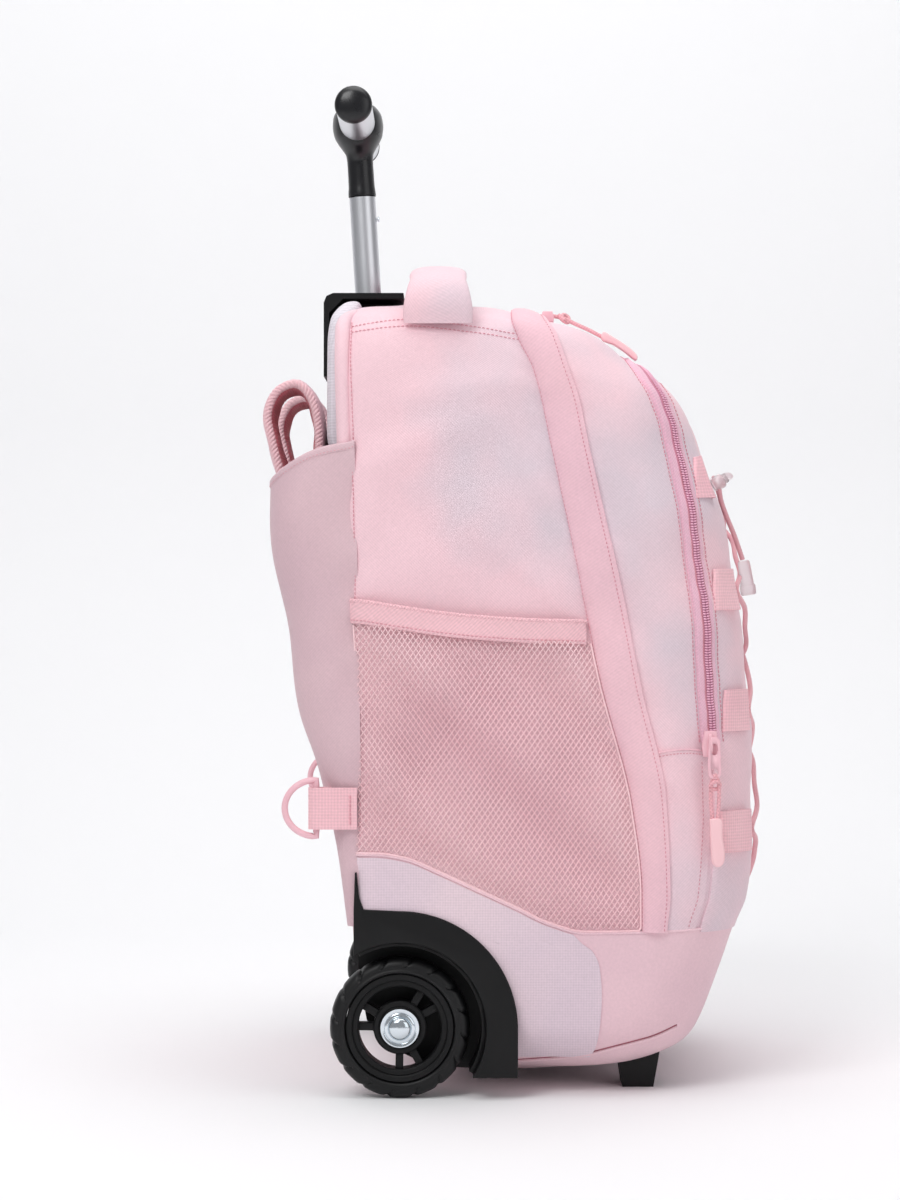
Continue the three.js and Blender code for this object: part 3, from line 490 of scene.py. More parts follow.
def woven_cloth(name, main, cloud, pitch_mm, lay="twill", depth_mm=0.12, contrast=0.10, rough=0.82,
                sheen=0.15):
    """Cloth whose threads follow the piece's own across and along directions.
    main and cloud are the two tones that drift over it, and the weave darkens between threads."""
    finish, tree, shader = new_finish(name, rough, 0.0, {"Sheen Weight": sheen, "Sheen Roughness": 0.5})
    place = add(tree, "ShaderNodeAttribute", {"attribute_name": "cloth"})
    where = add(tree, "ShaderNodeTexCoord")
    turn = {"twill": 45, "plain": 0, "ribbed": 0, "braid": 38}[lay]
    spun = add(tree, "ShaderNodeMapping", {}, {"Rotation": (0, 0, math.radians(turn))},
               {"Vector": place.outputs["Vector"]})
    scale = WAVE_PERIOD / (pitch_mm * MM)
    first = add(tree, "ShaderNodeTexWave", {"bands_direction": "X"}, {"Scale": scale, "Distortion": 0.6,
                "Detail": 1.0, "Detail Scale": 0.4}, {"Vector": spun.outputs["Vector"]})
    second = add(tree, "ShaderNodeTexWave", {"bands_direction": "Y"},
                 {"Scale": scale * (0.5 if lay == "twill" else 1.0), "Distortion": 0.5, "Detail": 1.0,
                  "Detail Scale": 0.4}, {"Vector": spun.outputs["Vector"]})
    share = {"twill": 0.25, "plain": 0.5, "ribbed": 0.35, "braid": 0.5}[lay]
    weave = add(tree, "ShaderNodeMix", {"data_type": "FLOAT"}, {"Factor": share},
                {2: first.outputs["Fac"], 3: second.outputs["Fac"]})
    drift = add(tree, "ShaderNodeTexNoise", {}, {"Scale": 9.0, "Detail": 3.0, "Roughness": 0.5},
                {"Vector": where.outputs["Object"]})
    soft = add(tree, "ShaderNodeMapRange", {}, {"From Min": 0.42, "From Max": 0.62},
               {"Value": drift.outputs["Fac"]})
    lint = add(tree, "ShaderNodeTexNoise", {}, {"Scale": 650.0, "Detail": 2.0},
               {"Vector": where.outputs["Object"]})
    tone = add(tree, "ShaderNodeMix", {"data_type": "RGBA"}, {6: linear(main), 7: linear(cloud)},
               {"Factor": soft.outputs["Result"]})
    dark = add(tree, "ShaderNodeMapRange", {}, {"To Min": 1 - contrast, "To Max": 1 + contrast * 0.35},
               {"Value": weave.outputs["Result"]})
    fuzz = add(tree, "ShaderNodeMapRange", {}, {"From Min": 0.3, "From Max": 0.7, "To Min": 0.965,
                                                "To Max": 1.03}, {"Value": lint.outputs["Fac"]})
    shade = add(tree, "ShaderNodeMath", {"operation": "MULTIPLY"}, {},
                {0: dark.outputs["Result"], 1: fuzz.outputs["Result"]})
    colour = add(tree, "ShaderNodeVectorMath", {"operation": "SCALE"}, {},
                 {"Vector": tone.outputs["Result"], "Scale": shade.outputs["Value"]})
    tree.links.new(colour.outputs["Vector"], shader.inputs["Base Color"])
    bump = add(tree, "ShaderNodeBump", {}, {"Strength": 0.5, "Distance": depth_mm * MM},
               {"Height": weave.outputs["Result"]})
    tree.links.new(bump.outputs["Normal"], shader.inputs["Normal"])
    return finish


def moulded(name, colour, rough, grain_mm=0.6, depth_mm=0.04, scuff="#000000", others=None):
    """Injection-moulded plastic: an even colour with a fine spark-eroded grain and faint scuffs."""
    finish, tree, shader = new_finish(name, rough, 0.0, others)
    where = add(tree, "ShaderNodeTexCoord")
    grain = add(tree, "ShaderNodeTexNoise", {}, {"Scale": 1 / (grain_mm * MM), "Detail": 2.0},
                {"Vector": where.outputs["Object"]})
    patches = add(tree, "ShaderNodeTexNoise", {}, {"Scale": 38.0, "Detail": 4.0},
                  {"Vector": where.outputs["Object"]})
    tone = add(tree, "ShaderNodeMix", {"data_type": "RGBA"}, {6: linear(colour), 7: linear(scuff)},
               {"Factor": patches.outputs["Fac"]})
    tree.links.new(tone.outputs["Result"], shader.inputs["Base Color"])
    polish = add(tree, "ShaderNodeMapRange", {}, {"To Min": max(rough - 0.08, 0.02), "To Max": rough + 0.08},
                 {"Value": patches.outputs["Fac"]})
    tree.links.new(polish.outputs["Result"], shader.inputs["Roughness"])
    bump = add(tree, "ShaderNodeBump", {}, {"Strength": 0.4, "Distance": depth_mm * MM},
               {"Height": grain.outputs["Fac"]})
    tree.links.new(bump.outputs["Normal"], shader.inputs["Normal"])
    return finish


def drawn_metal(name, colour, rough, streak_mm=0.25, depth_mm=0.01):
    """Metal with fine drawing lines along its length, as on anodised tube or plated turnings."""
    finish, tree, shader = new_finish(name, rough, 1.0)
    shader.inputs["Base Color"].default_value = linear(colour)
    where = add(tree, "ShaderNodeTexCoord")
    pulled = add(tree, "ShaderNodeMapping", {}, {"Scale": (1, 1, 0.02)}, {"Vector": where.outputs["Object"]})
    lines = add(tree, "ShaderNodeTexNoise", {}, {"Scale": 1 / (streak_mm * MM), "Detail": 2.0},
                {"Vector": pulled.outputs["Vector"]})
    polish = add(tree, "ShaderNodeMapRange", {}, {"To Min": rough * 0.8, "To Max": rough * 1.25},
                 {"Value": lines.outputs["Fac"]})
    tree.links.new(polish.outputs["Result"], shader.inputs["Roughness"])
    bump = add(tree, "ShaderNodeBump", {}, {"Strength": 0.3, "Distance": depth_mm * MM},
               {"Height": lines.outputs["Fac"]})
    tree.links.new(bump.outputs["Normal"], shader.inputs["Normal"])
    return finish


# Coated polyester twill: a matt pale pink with lilac clouds and a fine diagonal, drawn a little coarse
TWILL = woven_cloth("polyester_twill", "#F2CCD4", "#DCCAD3", 1.3, "twill", 0.10, 0.07)
FLAP_TWILL = woven_cloth("flap_twill", "#F0C4CD", "#EABFCA", 1.3, "twill", 0.10, 0.05)
# Coarser oxford of the base: squares of thread that catch the light
OXFORD = woven_cloth("base_oxford", "#E8D2DA", "#DFCBD6", 1.6, "plain", 0.14, 0.10)
BASE_TWILL = woven_cloth("base_twill", "#F3CFD6", "#EBC7D0", 1.3, "twill", 0.10, 0.05)
# The strap cover's twill: the bag's twill painted darker, as painted shade
COVER_SHADED_TWILL = woven_cloth("cover_twill_painted_shade", "#D9B9C0", "#CFAFB8", 1.3, "twill", 0.10, 0.05)
SPACER = woven_cloth("spacer_mesh", "#E9E2E9", "#DED6DF", 1.8, "plain", 0.4, 0.14)
# The strap's lining: a deep rose, partly its own colour and partly painted shade
LINING = woven_cloth("strap_lining", "#E9909A", "#DD7C88", 1.8, "plain", 0.4, 0.22)
PADDED = woven_cloth("strap_twill", "#F5CBD1", "#EEC2CA", 1.8, "twill", 0.20, 0.14)
WEBBING = woven_cloth("woven_webbing", "#F7C6CD", "#F2BDC6", 1.9, "plain", 0.35, 0.13)
BINDING = woven_cloth("herringbone_tape", "#F6C6CD", "#F1BDC6", 1.6, "twill", 0.30, 0.14)
NET_YARN = woven_cloth("net_yarn", "#FDD9DD", "#FAD0D6", 1.2, "braid", 0.05, 0.05)
# The pocket's lining, coloured deeper than the net as painted shade inside the pocket, so that the net reads
# light over it
POCKET_SHADE_LINING = woven_cloth("pocket_shade_lining", "#EFC8CF", "#E7BEC7", 1.3, "twill", 0.10, 0.08)
CORD = woven_cloth("braided_elastic", "#F0B2BA", "#E8A5AF", 1.6, "braid", 0.25, 0.18)
PIPING = woven_cloth("rope_piping", "#FBD3D7", "#F6C9CF", 1.6, "braid", 0.10, 0.08)
TAPE = woven_cloth("zip_tape", "#EFBFD0", "#E9B9CB", 1.2, "twill", 0.10, 0.10)
THREAD = woven_cloth("sewing_thread", "#E59FAC", "#DB92A1", 0.8, "braid", 0.05, 0.10)
SEAM_SHADOW = woven_cloth("seam_shadow", "#A9606E", "#9C5664", 0.8, "plain", 0.05, 0.10)
# Nylon coil: round teeth with a soft shine
COIL = moulded("nylon_coil", "#F8C3D8", 0.40, 0.4, 0.02, "#F2B4CE")
# Dark strip laid under the coil: painted shade in the gaps between the teeth
ZIP_SHADE = moulded("zip_painted_shade", "#D08CA9", 0.7, 0.6, 0.03, "#C47F9C")
BLACK = moulded("black_polypropylene", "#0A0A0C", 0.50, 0.7, 0.05, "#050506", {"Specular IOR Level": 0.3})
GLOSS_BLACK = moulded("black_abs", "#141418", 0.30, 0.7, 0.02, "#0E0E11")
RUBBER = moulded("tyre_rubber", "#0D0D0F", 0.46, 0.9, 0.05, "#080809", {"Specular IOR Level": 0.35})
PINK = moulded("pink_acetal", "#F2C3CC", 0.36, 0.6, 0.02, "#EDB8C3")
SOFT_PINK = moulded("pink_soft_pvc", "#FACFD3", 0.42, 0.6, 0.03, "#F6C4CA")
CLEAR = moulded("frosted_clear_plastic", "#FBF1F3", 0.30, 0.8, 0.03, "#F3E6E9",
                {"Transmission Weight": 0.75, "IOR": 1.49})
ALUMINIUM = drawn_metal("anodised_aluminium", "#DDDEE2", 0.36)
CHROME = drawn_metal("chrome_plate", "#DCE4EA", 0.14)


# Stitching

def stitched(name, line, normal, pitch=2.6, dash=1.7, radius=0.32, lift=0.25, body="bag"):
    """A row of thread dashes that lie on the cloth and dip into it at both ends."""
    run = along(line)
    parts = []
    side_count = 5
    for start in np.arange(0.5, run[-1] - dash, pitch):
        marks = np.linspace(start, start + dash, 4)
        rise = np.array([-0.35, lift, lift, -0.35])
        spot = np.stack([np.interp(marks, run, line[:, k]) for k in range(3)], -1)
        out = np.stack([np.interp(marks, run, normal[:, k]) for k in range(3)], -1)
        rings = round_rings(spot + out * rise[:, None], radius, side_count, out[0])
        parts.append(swept(rings))
    points, faces = gathered(parts)
    cloth = np.zeros((len(points), 2))
    return sit(mesh_piece(name, points, faces, THREAD, cloth, 60), body)


def seam_stitches(name, column, shift, lift, low, fan_y=70, fan_z=395, pitch=2.6):
    strip = seam_strip(column, [shift], low, fan_y, fan_z, 2.0)[:, 0]
    line, normal = dressed(strip, lift)
    return stitched(name, line, normal, pitch)


# Bag panels

def make_skin():
    """The main compartment's walls and top: one sewn skin above the base, under flap, tape and bindings."""
    z = np.linspace(LOW_Z, TOP_Z, 3000)
    change = np.hypot(np.gradient(FRONT(z), z), np.gradient(HALF(z), z))
    run = np.concatenate([[0], np.cumsum(np.hypot(1, change)[1:] * np.diff(z))])
    climb = curve_through(z[::10], run[::10])
    foot_run = np.interp(96, z, run)
    marks = np.linspace(foot_run, run[-1], 132)
    levels = np.interp(marks, run, z)
    shares = np.arange(-130, 130) / 130 + 1 / 260
    level_grid, share_grid = np.meshgrid(levels, shares, indexing="ij")
    for _ in range(3):
        bare, arc_run = ring_point(share_grid, level_grid)
        foot = BASE_TOP(bare[..., 0]) - 7
        height = np.interp(marks, [foot_run, run[-1]], [0, 1])[:, None]
        fade = np.clip(1 - height * 2.2, 0, 1)
        level_grid = levels[:, None] + (foot - levels[0]) * fade
    bare, arc_run = ring_point(share_grid, level_grid)
    points, _ = dressed(bare)
    cloth = np.stack([arc_run, climb(level_grid)], -1)
    rows, columns = points.shape[:2]
    flat = points.reshape(-1, 3)
    in_block = (flat[:, 0] < -75) & (np.abs(flat[:, 1]) < 15.6) & (flat[:, 2] > 464.5)
    faces = [f for f in grid_faces(rows, columns, wrap=True) if not all(in_block[i] for i in f)]
    faces.append(tuple((rows - 1) * columns + c for c in range(columns)))
    piece = mesh_piece("main_panels", points, faces, TWILL, cloth)
    return sit(piece, "bag", ["rear_shell", "front_shell"])


def make_base():
    """The base: twill cloth round the foot of the bag, with a well cut out for each wheel."""
    z = np.linspace(LOW_Z, 150, 1500)
    run = np.concatenate([[0], np.cumsum(np.hypot(1, np.gradient(HALF(z), z) * 0.7)[1:] * np.diff(z))])
    steps = np.linspace(0, 1, 40)
    shares = np.arange(-120, 120) / 120 + 1 / 240
    step_grid, share_grid = np.meshgrid(steps, shares, indexing="ij")
    top = np.full_like(step_grid, 120.0)
    for _ in range(4):
        level = np.interp(step_grid * np.interp(top, z, run), run, z)
        bare, arc_run = ring_point(share_grid, level)
        top = BASE_TOP(ring_point(share_grid, top)[0][..., 0])
    points, normal = dressed(bare, 0.7)
    cloth = np.stack([arc_run, np.interp(level, z, run)], -1)
    rows, columns = points.shape[:2]
    faces = grid_faces(rows, columns, wrap=True)
    lid = points[-1] * np.array([0.9, 0.9, 1.0])
    points = np.concatenate([points.reshape(-1, 3), lid])
    cloth = np.concatenate([cloth.reshape(-1, 2), cloth[-1]])
    last = rows * columns
    for c in range(columns):
        n = (c + 1) % columns
        faces.append((last - columns + c, last - columns + n, last + n, last + c))
    faces.append(tuple(last + c for c in range(columns)))
    faces.append(tuple(range(columns))[::-1])
    piece = mesh_piece("base_cloth", points, faces, BASE_TWILL, cloth)
    for _, sign in SIDES:
        rings = turned_rings([(54.9, 0), (54.9, 60)], 72, (WHEEL["x"], sign * 117.7, WHEEL["z"]),
                             (0, sign, 0))
        tool_points, tool_faces = swept(rings)
        cut_away(piece, mesh_piece("well_tool", tool_points, tool_faces, BLACK))
    return sit(piece, "bag", ["base"])


def make_pocket():
    """The front pocket: one panel across the front, 1.5 mm proud, that ends under the zip tape."""
    top_z = 446
    levels = np.concatenate([np.linspace(0, 0.86, 74), np.linspace(0.86, 1, 34)[1:]])
    across = np.concatenate([[-1, -0.998], np.linspace(-0.99, 0.99, 119), [0.998, 1]])
    v, u = np.meshgrid(levels, across, indexing="ij")
    z = 100 + (top_z - 100) * v

    def seam_share(height):
        low = np.full(height.shape, 0.5)
        high = np.ones(height.shape)
        for _ in range(26):
            half_way = (low + high) / 2
            ahead = ring_point(half_way, height)[0][..., 0] > POCKET(height)
            high = np.where(ahead, half_way, high)
            low = np.where(ahead, low, half_way)
        return high
    edge = seam_share(z)
    share = np.sign(u + 1e-9) * (edge * np.abs(u) + (1 - np.abs(u)) * 1.0)
    share = np.where(np.abs(u) < 1e-9, 0.99999, share)
    bare, arc_run = ring_point(share, z)
    lift = np.where(np.abs(u) > 0.999, -0.8, np.where(np.abs(u) > 0.995, 1.4, 1.7))
    points, _ = dressed(bare, lift)
    rows, columns = points.shape[:2]
    cloth = np.stack([points[..., 1], points[..., 2]], -1)
    piece = mesh_piece("pocket_front", points, grid_faces(rows, columns), TWILL, cloth)
    return sit(piece, "bag", ["front_pocket"])


def banded(name, strip, lifts, finish, nodes=(), under=-0.8):
    """A band of cloth along a seam: each column of the strip stands at its own lift; closed underneath."""
    columns = strip.shape[1]
    top = [dressed(strip[:, c], lifts[c] + 0 * strip[:, c, 0])[0] for c in range(columns)]
    low = [dressed(strip[:, c], under + 0 * strip[:, c, 0])[0] for c in (columns - 1, 0)]
    rings = np.stack(top + low, 1)
    run = along(strip[:, columns // 2])
    width = along(strip[0])
    cloth = np.stack(np.broadcast_arrays(np.append(width, [width[-1], 0])[None], run[:, None]), -1)
    points, faces = swept(rings)
    return sit(mesh_piece(name, points, faces, finish, cloth, 60), "bag", nodes)


def make_flap():
    """The rain flap over the main zip: a puffed band with a turned back edge and a stitched free edge."""
    shares = np.array([0, 0.02, 0.08, 0.2, 0.35, 0.5, 0.65, 0.78, 0.86, 0.93, 0.985, 1.0])
    lifts = [0.0, 1.6, 2.8, 3.8, 4.4, 4.6, 4.3, 3.7, 3.0, 3.1, 2.7, 0.6]
    rays, _ = over_the_bag(FLAP_BACK, 101, 70, 395, 3.0)
    lines = [land(lambda z, s=s: FLAP_BACK(z) * (1 - s) + FLAP_FRONT(z) * s, *rays) for s in shares]
    strip = both_ways(np.stack(lines, 1))
    banded("rain_flap", strip, lifts, FLAP_TWILL, ["zip_flap"])
    for name, share, lift in (("flap_front_stitch", 0.86, 2.9), ("flap_back_stitch", 0.015, 0.9)):
        line, normal = dressed(both_ways(land(lambda z: FLAP_BACK(z) * (1 - share) + FLAP_FRONT(z) * share,
                                              *rays)), lift)
        stitched(name, line, normal)


def make_zip():
    """The front pocket's zip: tape sewn along both edges, and a coil of paired teeth on its middle."""
    low = 214
    shifts = [-6, -5.6, -4, -2, 0, 2, 4, 4.7, 5]
    strip = seam_strip(POCKET, shifts, low, 62, 380, 3.0)
    banded("pocket_zip_tape", strip, [1.0, 2.4, 2.6, 2.8, 2.9, 2.9, 2.8, 2.6, 1.2], TAPE,
           ["pocket_zip"])
    seam_stitches("pocket_zip_stitch_inner", POCKET, -7.4, 0.1, 214, 62, 380)
    seam_stitches("pocket_zip_stitch_outer", POCKET, 6.6, 1.9, 214, 62, 380)
    # A dark band under the coil: painted shade between the teeth
    shade = seam_strip(POCKET, [-2.3, -2.0, 0, 2.0, 2.3], low, 62, 380, 3.0)
    banded("pocket_zip_painted_shade", shade, [2.8, 3.05, 3.1, 3.05, 2.8], ZIP_SHADE)
    centre = seam_strip(POCKET, [0], low, 62, 380, 1.55)[:, 0]
    line, normal = dressed(centre, 3.45)
    tangent, _, side = frames_along(line, normal[0])
    side = np.cross(tangent, normal)
    parts = []
    for row, start in ((-1, 0), (1, 1)):
        for i in range(start, len(line), 1):
            mid = line[i] + side[i] * row * 1.25
            ends = np.stack([mid - side[i] * 0.95 - tangent[i] * row * 0.25,
                             mid - side[i] * 0.4 + normal[i] * 0.25, mid + side[i] * 0.4 + normal[i] * 0.25,
                             mid + side[i] * 0.95 + tangent[i] * row * 0.25])
            rings = round_rings(ends, [0.42, 0.55, 0.55, 0.42], 5, normal[i])
            parts.append(swept(rings))
    points, faces = gathered(parts)
    sit(mesh_piece("pocket_zip_coil", points, faces, COIL, np.zeros((len(points), 2)), 180), "bag")
    for row in (-1, 1):
        stitched(f"coil_stitch_{'back' if row < 0 else 'front'}", line + side * row * 2.7 - normal * 0.35,
                 normal, 1.5, 1.0, 0.36)


def make_pipings():
    """A thin piping all round the base's upper edge."""
    shares = np.linspace(-1, 1, 420)[:-1]
    z = np.full(shares.shape, 120.0)
    for _ in range(6):
        bare, _ = ring_point(shares, z)
        z = BASE_TOP(bare[:, 0])
    bare, _ = ring_point(shares, z)
    line, _ = dressed(bare, 0.8)
    sit(tube("base_piping", line, 0.8, BASE_TWILL, 8), "bag")

# Side pockets
NET = {"back": -94.5, "mouth_back": 286, "mouth_front": 274, "mouth_run": 130, "lift": 6.4, "cell": 3.3,
       "rise": 4.8}


def mouth_height(x):
    share = (x + 89) / NET["mouth_run"]
    return NET["mouth_back"] + share * (NET["mouth_front"]
                                        - NET["mouth_back"]) - 3.0 * np.sin(np.pi * np.clip(share, 0, 1))


def net_lift(x, z):
    """The net stands 1 mm off the cloth at its sewn edges and up to 6 mm at the mouth, in soft folds."""
    inside = np.minimum.reduce([(x - NET["back"]) / 16, (FLAP_BACK(z) - x) / 14, (z - BASE_TOP(x)) / 22])
    rise = np.clip(inside, 0, 1)
    rise = rise * rise * (3 - 2 * rise)
    diagonal = (x + 94) * 0.62 + (z - 286) * 0.78
    fold = 1.9 * np.sin(diagonal / 11.5 + 0.6 + 0.012
                        * (z - 200)) + 0.7 * np.sin(diagonal / 5.3 + 2 + 0.02 * x)
    return 0.9 + rise * np.maximum(NET["lift"] - 1.4 + 1.6 * fold * np.clip((300 - z) / 40, 0.2, 1), 0.2)


def on_side(x, z, sign, lift):
    x, z = np.broadcast_arrays(np.asarray(x, float), np.asarray(z, float))
    bare = land(lambda _: x, 0 * z, z, sign + 0 * z, 0 * z)
    return dressed(bare, lift)


def side_patch(name, x_rows, z_rows, sign, lift, finish, under=-0.6):
    """A cloth patch sewn flat on the bag's side: rows of places, raised by lift, with a turned-in rim."""
    x_rows, z_rows = np.asarray(x_rows, float), np.asarray(z_rows, float)
    points, normal = on_side(x_rows, z_rows, sign, lift)
    rows, columns = points.shape[:2]
    low = points - normal * (lift - under)
    border = [(0, c) for c in range(columns)] + [(r, columns - 1) for r in range(1, rows)]
    border += [(rows - 1, c) for c in range(columns - 2, -1, -1)] + [(r, 0) for r in range(rows - 2, 0, -1)]
    faces = grid_faces(rows, columns)
    start = rows * columns
    for k, (r, c) in enumerate(border):
        n, m = border[(k + 1) % len(border)]
        faces.append((n * columns + m, r * columns + c, start + k, start + (k + 1) % len(border)))
    skirt = np.array([low[r, c] for r, c in border])
    every = np.concatenate([points.reshape(-1, 3), skirt])
    if sign < 0:
        faces = [f[::-1] for f in faces]
    return mesh_piece(name, every, faces, finish, every[:, [0, 2]], 50)


def make_side_pocket(side, sign):
    # The pocket's lining on the bag's own side, its deeper colour painted shade inside the pocket
    rise = np.linspace(0, 1, 60)[:, None]
    run = np.linspace(0, 1, 60)[None]
    px = NET["back"] + 1 + 0 * rise
    for _ in range(4):
        low_z = BASE_TOP(px) + 0.5
        pz = low_z + (mouth_height(px) + 4 - low_z) * rise
        px = NET["back"] + 1 + (FLAP_BACK(pz) - 1 - NET["back"] - 1) * run
    sit(side_patch(f"pocket_shade_lining_{side}", px, pz, sign, 0.5, POCKET_SHADE_LINING), "bag")
    half_cell, half_rise = NET["cell"] / 2, NET["rise"] / 2
    columns = int((82 - NET["back"]) / half_cell)
    rows = int((300 - 98) / half_rise)
    i, j = np.meshgrid(np.arange(columns), np.arange(rows), indexing="ij")
    x = NET["back"] + 0.6 + i * half_cell
    z = 98 + j * half_rise
    inside = (z < mouth_height(x) + 2) & (z > BASE_TOP(x) + 0.8) & (x < FLAP_BACK(z) - 0.6)
    points, normal = on_side(x, z, sign, net_lift(x, z))
    parts = []
    for step in (1, -1):
        for start in range(-rows, columns + rows):
            js = np.arange(rows)
            cols = start + step * js if step > 0 else start - js
            good = (cols >= 0) & (cols < columns)
            js, cols = js[good], cols[good]
            even = (cols + js) % 2 == 0
            if not len(js) or not even[0]:
                continue
            kept = inside[cols, js]
            runs = np.split(np.arange(len(js)), np.where(np.diff(kept.astype(int)) != 0)[0] + 1)
            for run in runs:
                if len(run) < 2 or not kept[run[0]]:
                    continue
                line = points[cols[run], js[run]] + normal[cols[run], js[run]] * 0.16 * step
                parts.append(swept(round_rings(line, 0.27, 4, normal[cols[run[0]], js[run[0]]], 1.4)))
    net_points, faces = gathered(parts)
    piece = mesh_piece(f"pocket_net_{side}", net_points, faces, NET_YARN, net_points[:, [0, 2]], 180)
    sit(piece, "bag", [f"mesh_pocket_{side}"])

    # Sewn edge of the net, down the back, along the base and up beside the flap
    base_x = np.linspace(NET["back"] + 1, 76, 60)
    up_z = np.linspace(103, 274, 60)
    edge = [(NET["back"] + 0.6, h) for h in np.linspace(285, 149, 40)]
    edge += [(px, BASE_TOP(px) + 1.2) for px in base_x]
    edge += [(FLAP_BACK(h) - 0.8, h) for h in up_z]
    edge = np.array(edge, float)
    line, normal = on_side(edge[:, 0], edge[:, 1], sign, 0.9)
    sit(tube(f"net_edge_{side}", line, 0.7, NET_YARN, 6), "bag")

    # Herringbone tape folded over the mouth
    across = np.linspace(NET["back"], 44.5, 70)
    steps = [(-0.5, 0.0), (-0.3, 0.9), (0.6, 1.25), (3, 1.2), (6.5, 1.2), (10, 1.2), (12.4, 1.5), (13.3, 1.2),
             (13.6, 0.2)]
    stand = lambda px, h: 1.0 + (NET["lift"] - 1.6) * np.clip(
        np.minimum(px - NET["back"], FLAP_BACK(h) - px) / 12, 0, 1) ** 0.7
    tops = []
    for rise, thick in steps:
        h = mouth_height(across) + rise
        tops.append(on_side(across, h, sign, stand(across, h) + thick)[0])
    for rise, _ in steps[::-1]:
        h = mouth_height(across) + rise
        tops.append(on_side(across, h, sign, stand(across, h) - 0.9)[0])
    rings = np.stack(tops, 1)
    widths = [rise for rise, _ in steps] + [rise for rise, _ in steps[::-1]]
    cloth = np.stack(np.broadcast_arrays(np.array(widths)[None], across[:, None]), -1)
    band_points, faces = swept(rings)
    piece = mesh_piece(f"mouth_tape_{side}", band_points, faces, BINDING, cloth, 60)
    sit(piece, "bag", [f"pocket_binding_{side}"])
    h = mouth_height(across) + 1.6
    line, normal = on_side(across, h, sign, stand(across, h) + 1.3)
    stitched(f"mouth_stitch_{side}", line, normal, 2.6, 1.7, 0.28)
    # Rope-like selvedge along the mouth
    h = mouth_height(across) + 13.2
    core = smooth_line(on_side(across, h, sign, stand(across, h) + 0.6)[0], 0.8)
    _, up, beside = frames_along(core, UP)
    length = along(core)
    strands = []
    for strand in range(2):
        angle = length / 3.6 * TURN + strand * math.pi
        offset = up * np.cos(angle)[:, None] * 0.7 + beside * np.sin(angle)[:, None] * 0.7
        strands.append(swept(round_rings(core + offset, 0.85, 5, UP)))
    rope, faces = gathered(strands)
    sit(mesh_piece(f"mouth_selvedge_{side}", rope, faces, BINDING, rope[:, [0, 2]], 180), "bag")


# Back: padded panel, strap cover and the straps folded into it

def rounded_box_rings(rows, steps=10):
    rings = []
    for z, back, front, half, radius in rows:
        ring = []
        for cx, cy, start in ((front - radius, half - radius, 0), (back + radius, half - radius, 1),
                              (back + radius, radius - half, 2), (front - radius, radius - half, 3)):
            for a in np.linspace(start, start + 1, steps):
                ring.append((cx + radius * math.cos(a * math.pi / 2), cy + radius * math.sin(a * math.pi / 2),
                             z))
        rings.append(ring)
    return np.array(rings)


def puffed(piece, pressure=4.0, voxel_mm=5.0, cap_mm=5.0):
    """Swells a padded piece with a short cloth simulation, and keeps the result in its mesh."""
    even = piece.modifiers.new("even", "REMESH")
    even.mode = "VOXEL"
    even.voxel_size = voxel_mm * MM
    bpy.context.view_layer.update()
    graph = bpy.context.evaluated_depsgraph_get()
    piece.data = bpy.data.meshes.new_from_object(piece.evaluated_get(graph))
    piece.modifiers.clear()
    before = np.array([v.co for v in piece.data.vertices])
    cloth = piece.modifiers.new("swell", "CLOTH")
    cloth.settings.use_pressure = True
    cloth.settings.uniform_pressure_force = pressure
    cloth.settings.effector_weights.gravity = 0
    cloth.settings.quality = 5
    cloth.point_cache.frame_start = 1
    cloth.point_cache.frame_end = 20
    for step in range(1, 21):
        bpy.context.scene.frame_set(step)
    graph = bpy.context.evaluated_depsgraph_get()
    after = np.array([v.co for v in piece.evaluated_get(graph).data.vertices])
    piece.modifiers.clear()
    bpy.context.scene.frame_set(1)
    move = after - before
    size = np.linalg.norm(move, axis=1, keepdims=True)
    move *= np.minimum(1, cap_mm * MM / np.maximum(size, 1e-9))
    piece.data.vertices.foreach_set("co", (before + move).astype(np.float32).ravel())
    smooth = piece.modifiers.new("finer", "SUBSURF")
    smooth.levels = 1
    bpy.context.view_layer.update()
    graph = bpy.context.evaluated_depsgraph_get()
    piece.data = bpy.data.meshes.new_from_object(piece.evaluated_get(graph))
    piece.modifiers.clear()
    piece.data.shade_smooth()
    return piece


def own_weave(piece, first, second):
    """Gives a piece its cloth directions from two of its own axes, after its mesh is final."""
    mesh = piece.data
    points = np.array([v.co for v in mesh.vertices])
    old = mesh.attributes.get("cloth")
    if old:
        mesh.attributes.remove(old)
    weave = mesh.attributes.new("cloth", "FLOAT_VECTOR", "POINT")
    flat = np.zeros((len(points), 3), np.float32)
    flat[:, 0] = points[:, first]
    flat[:, 1] = points[:, second]
    weave.data.foreach_set("vector", flat.ravel())


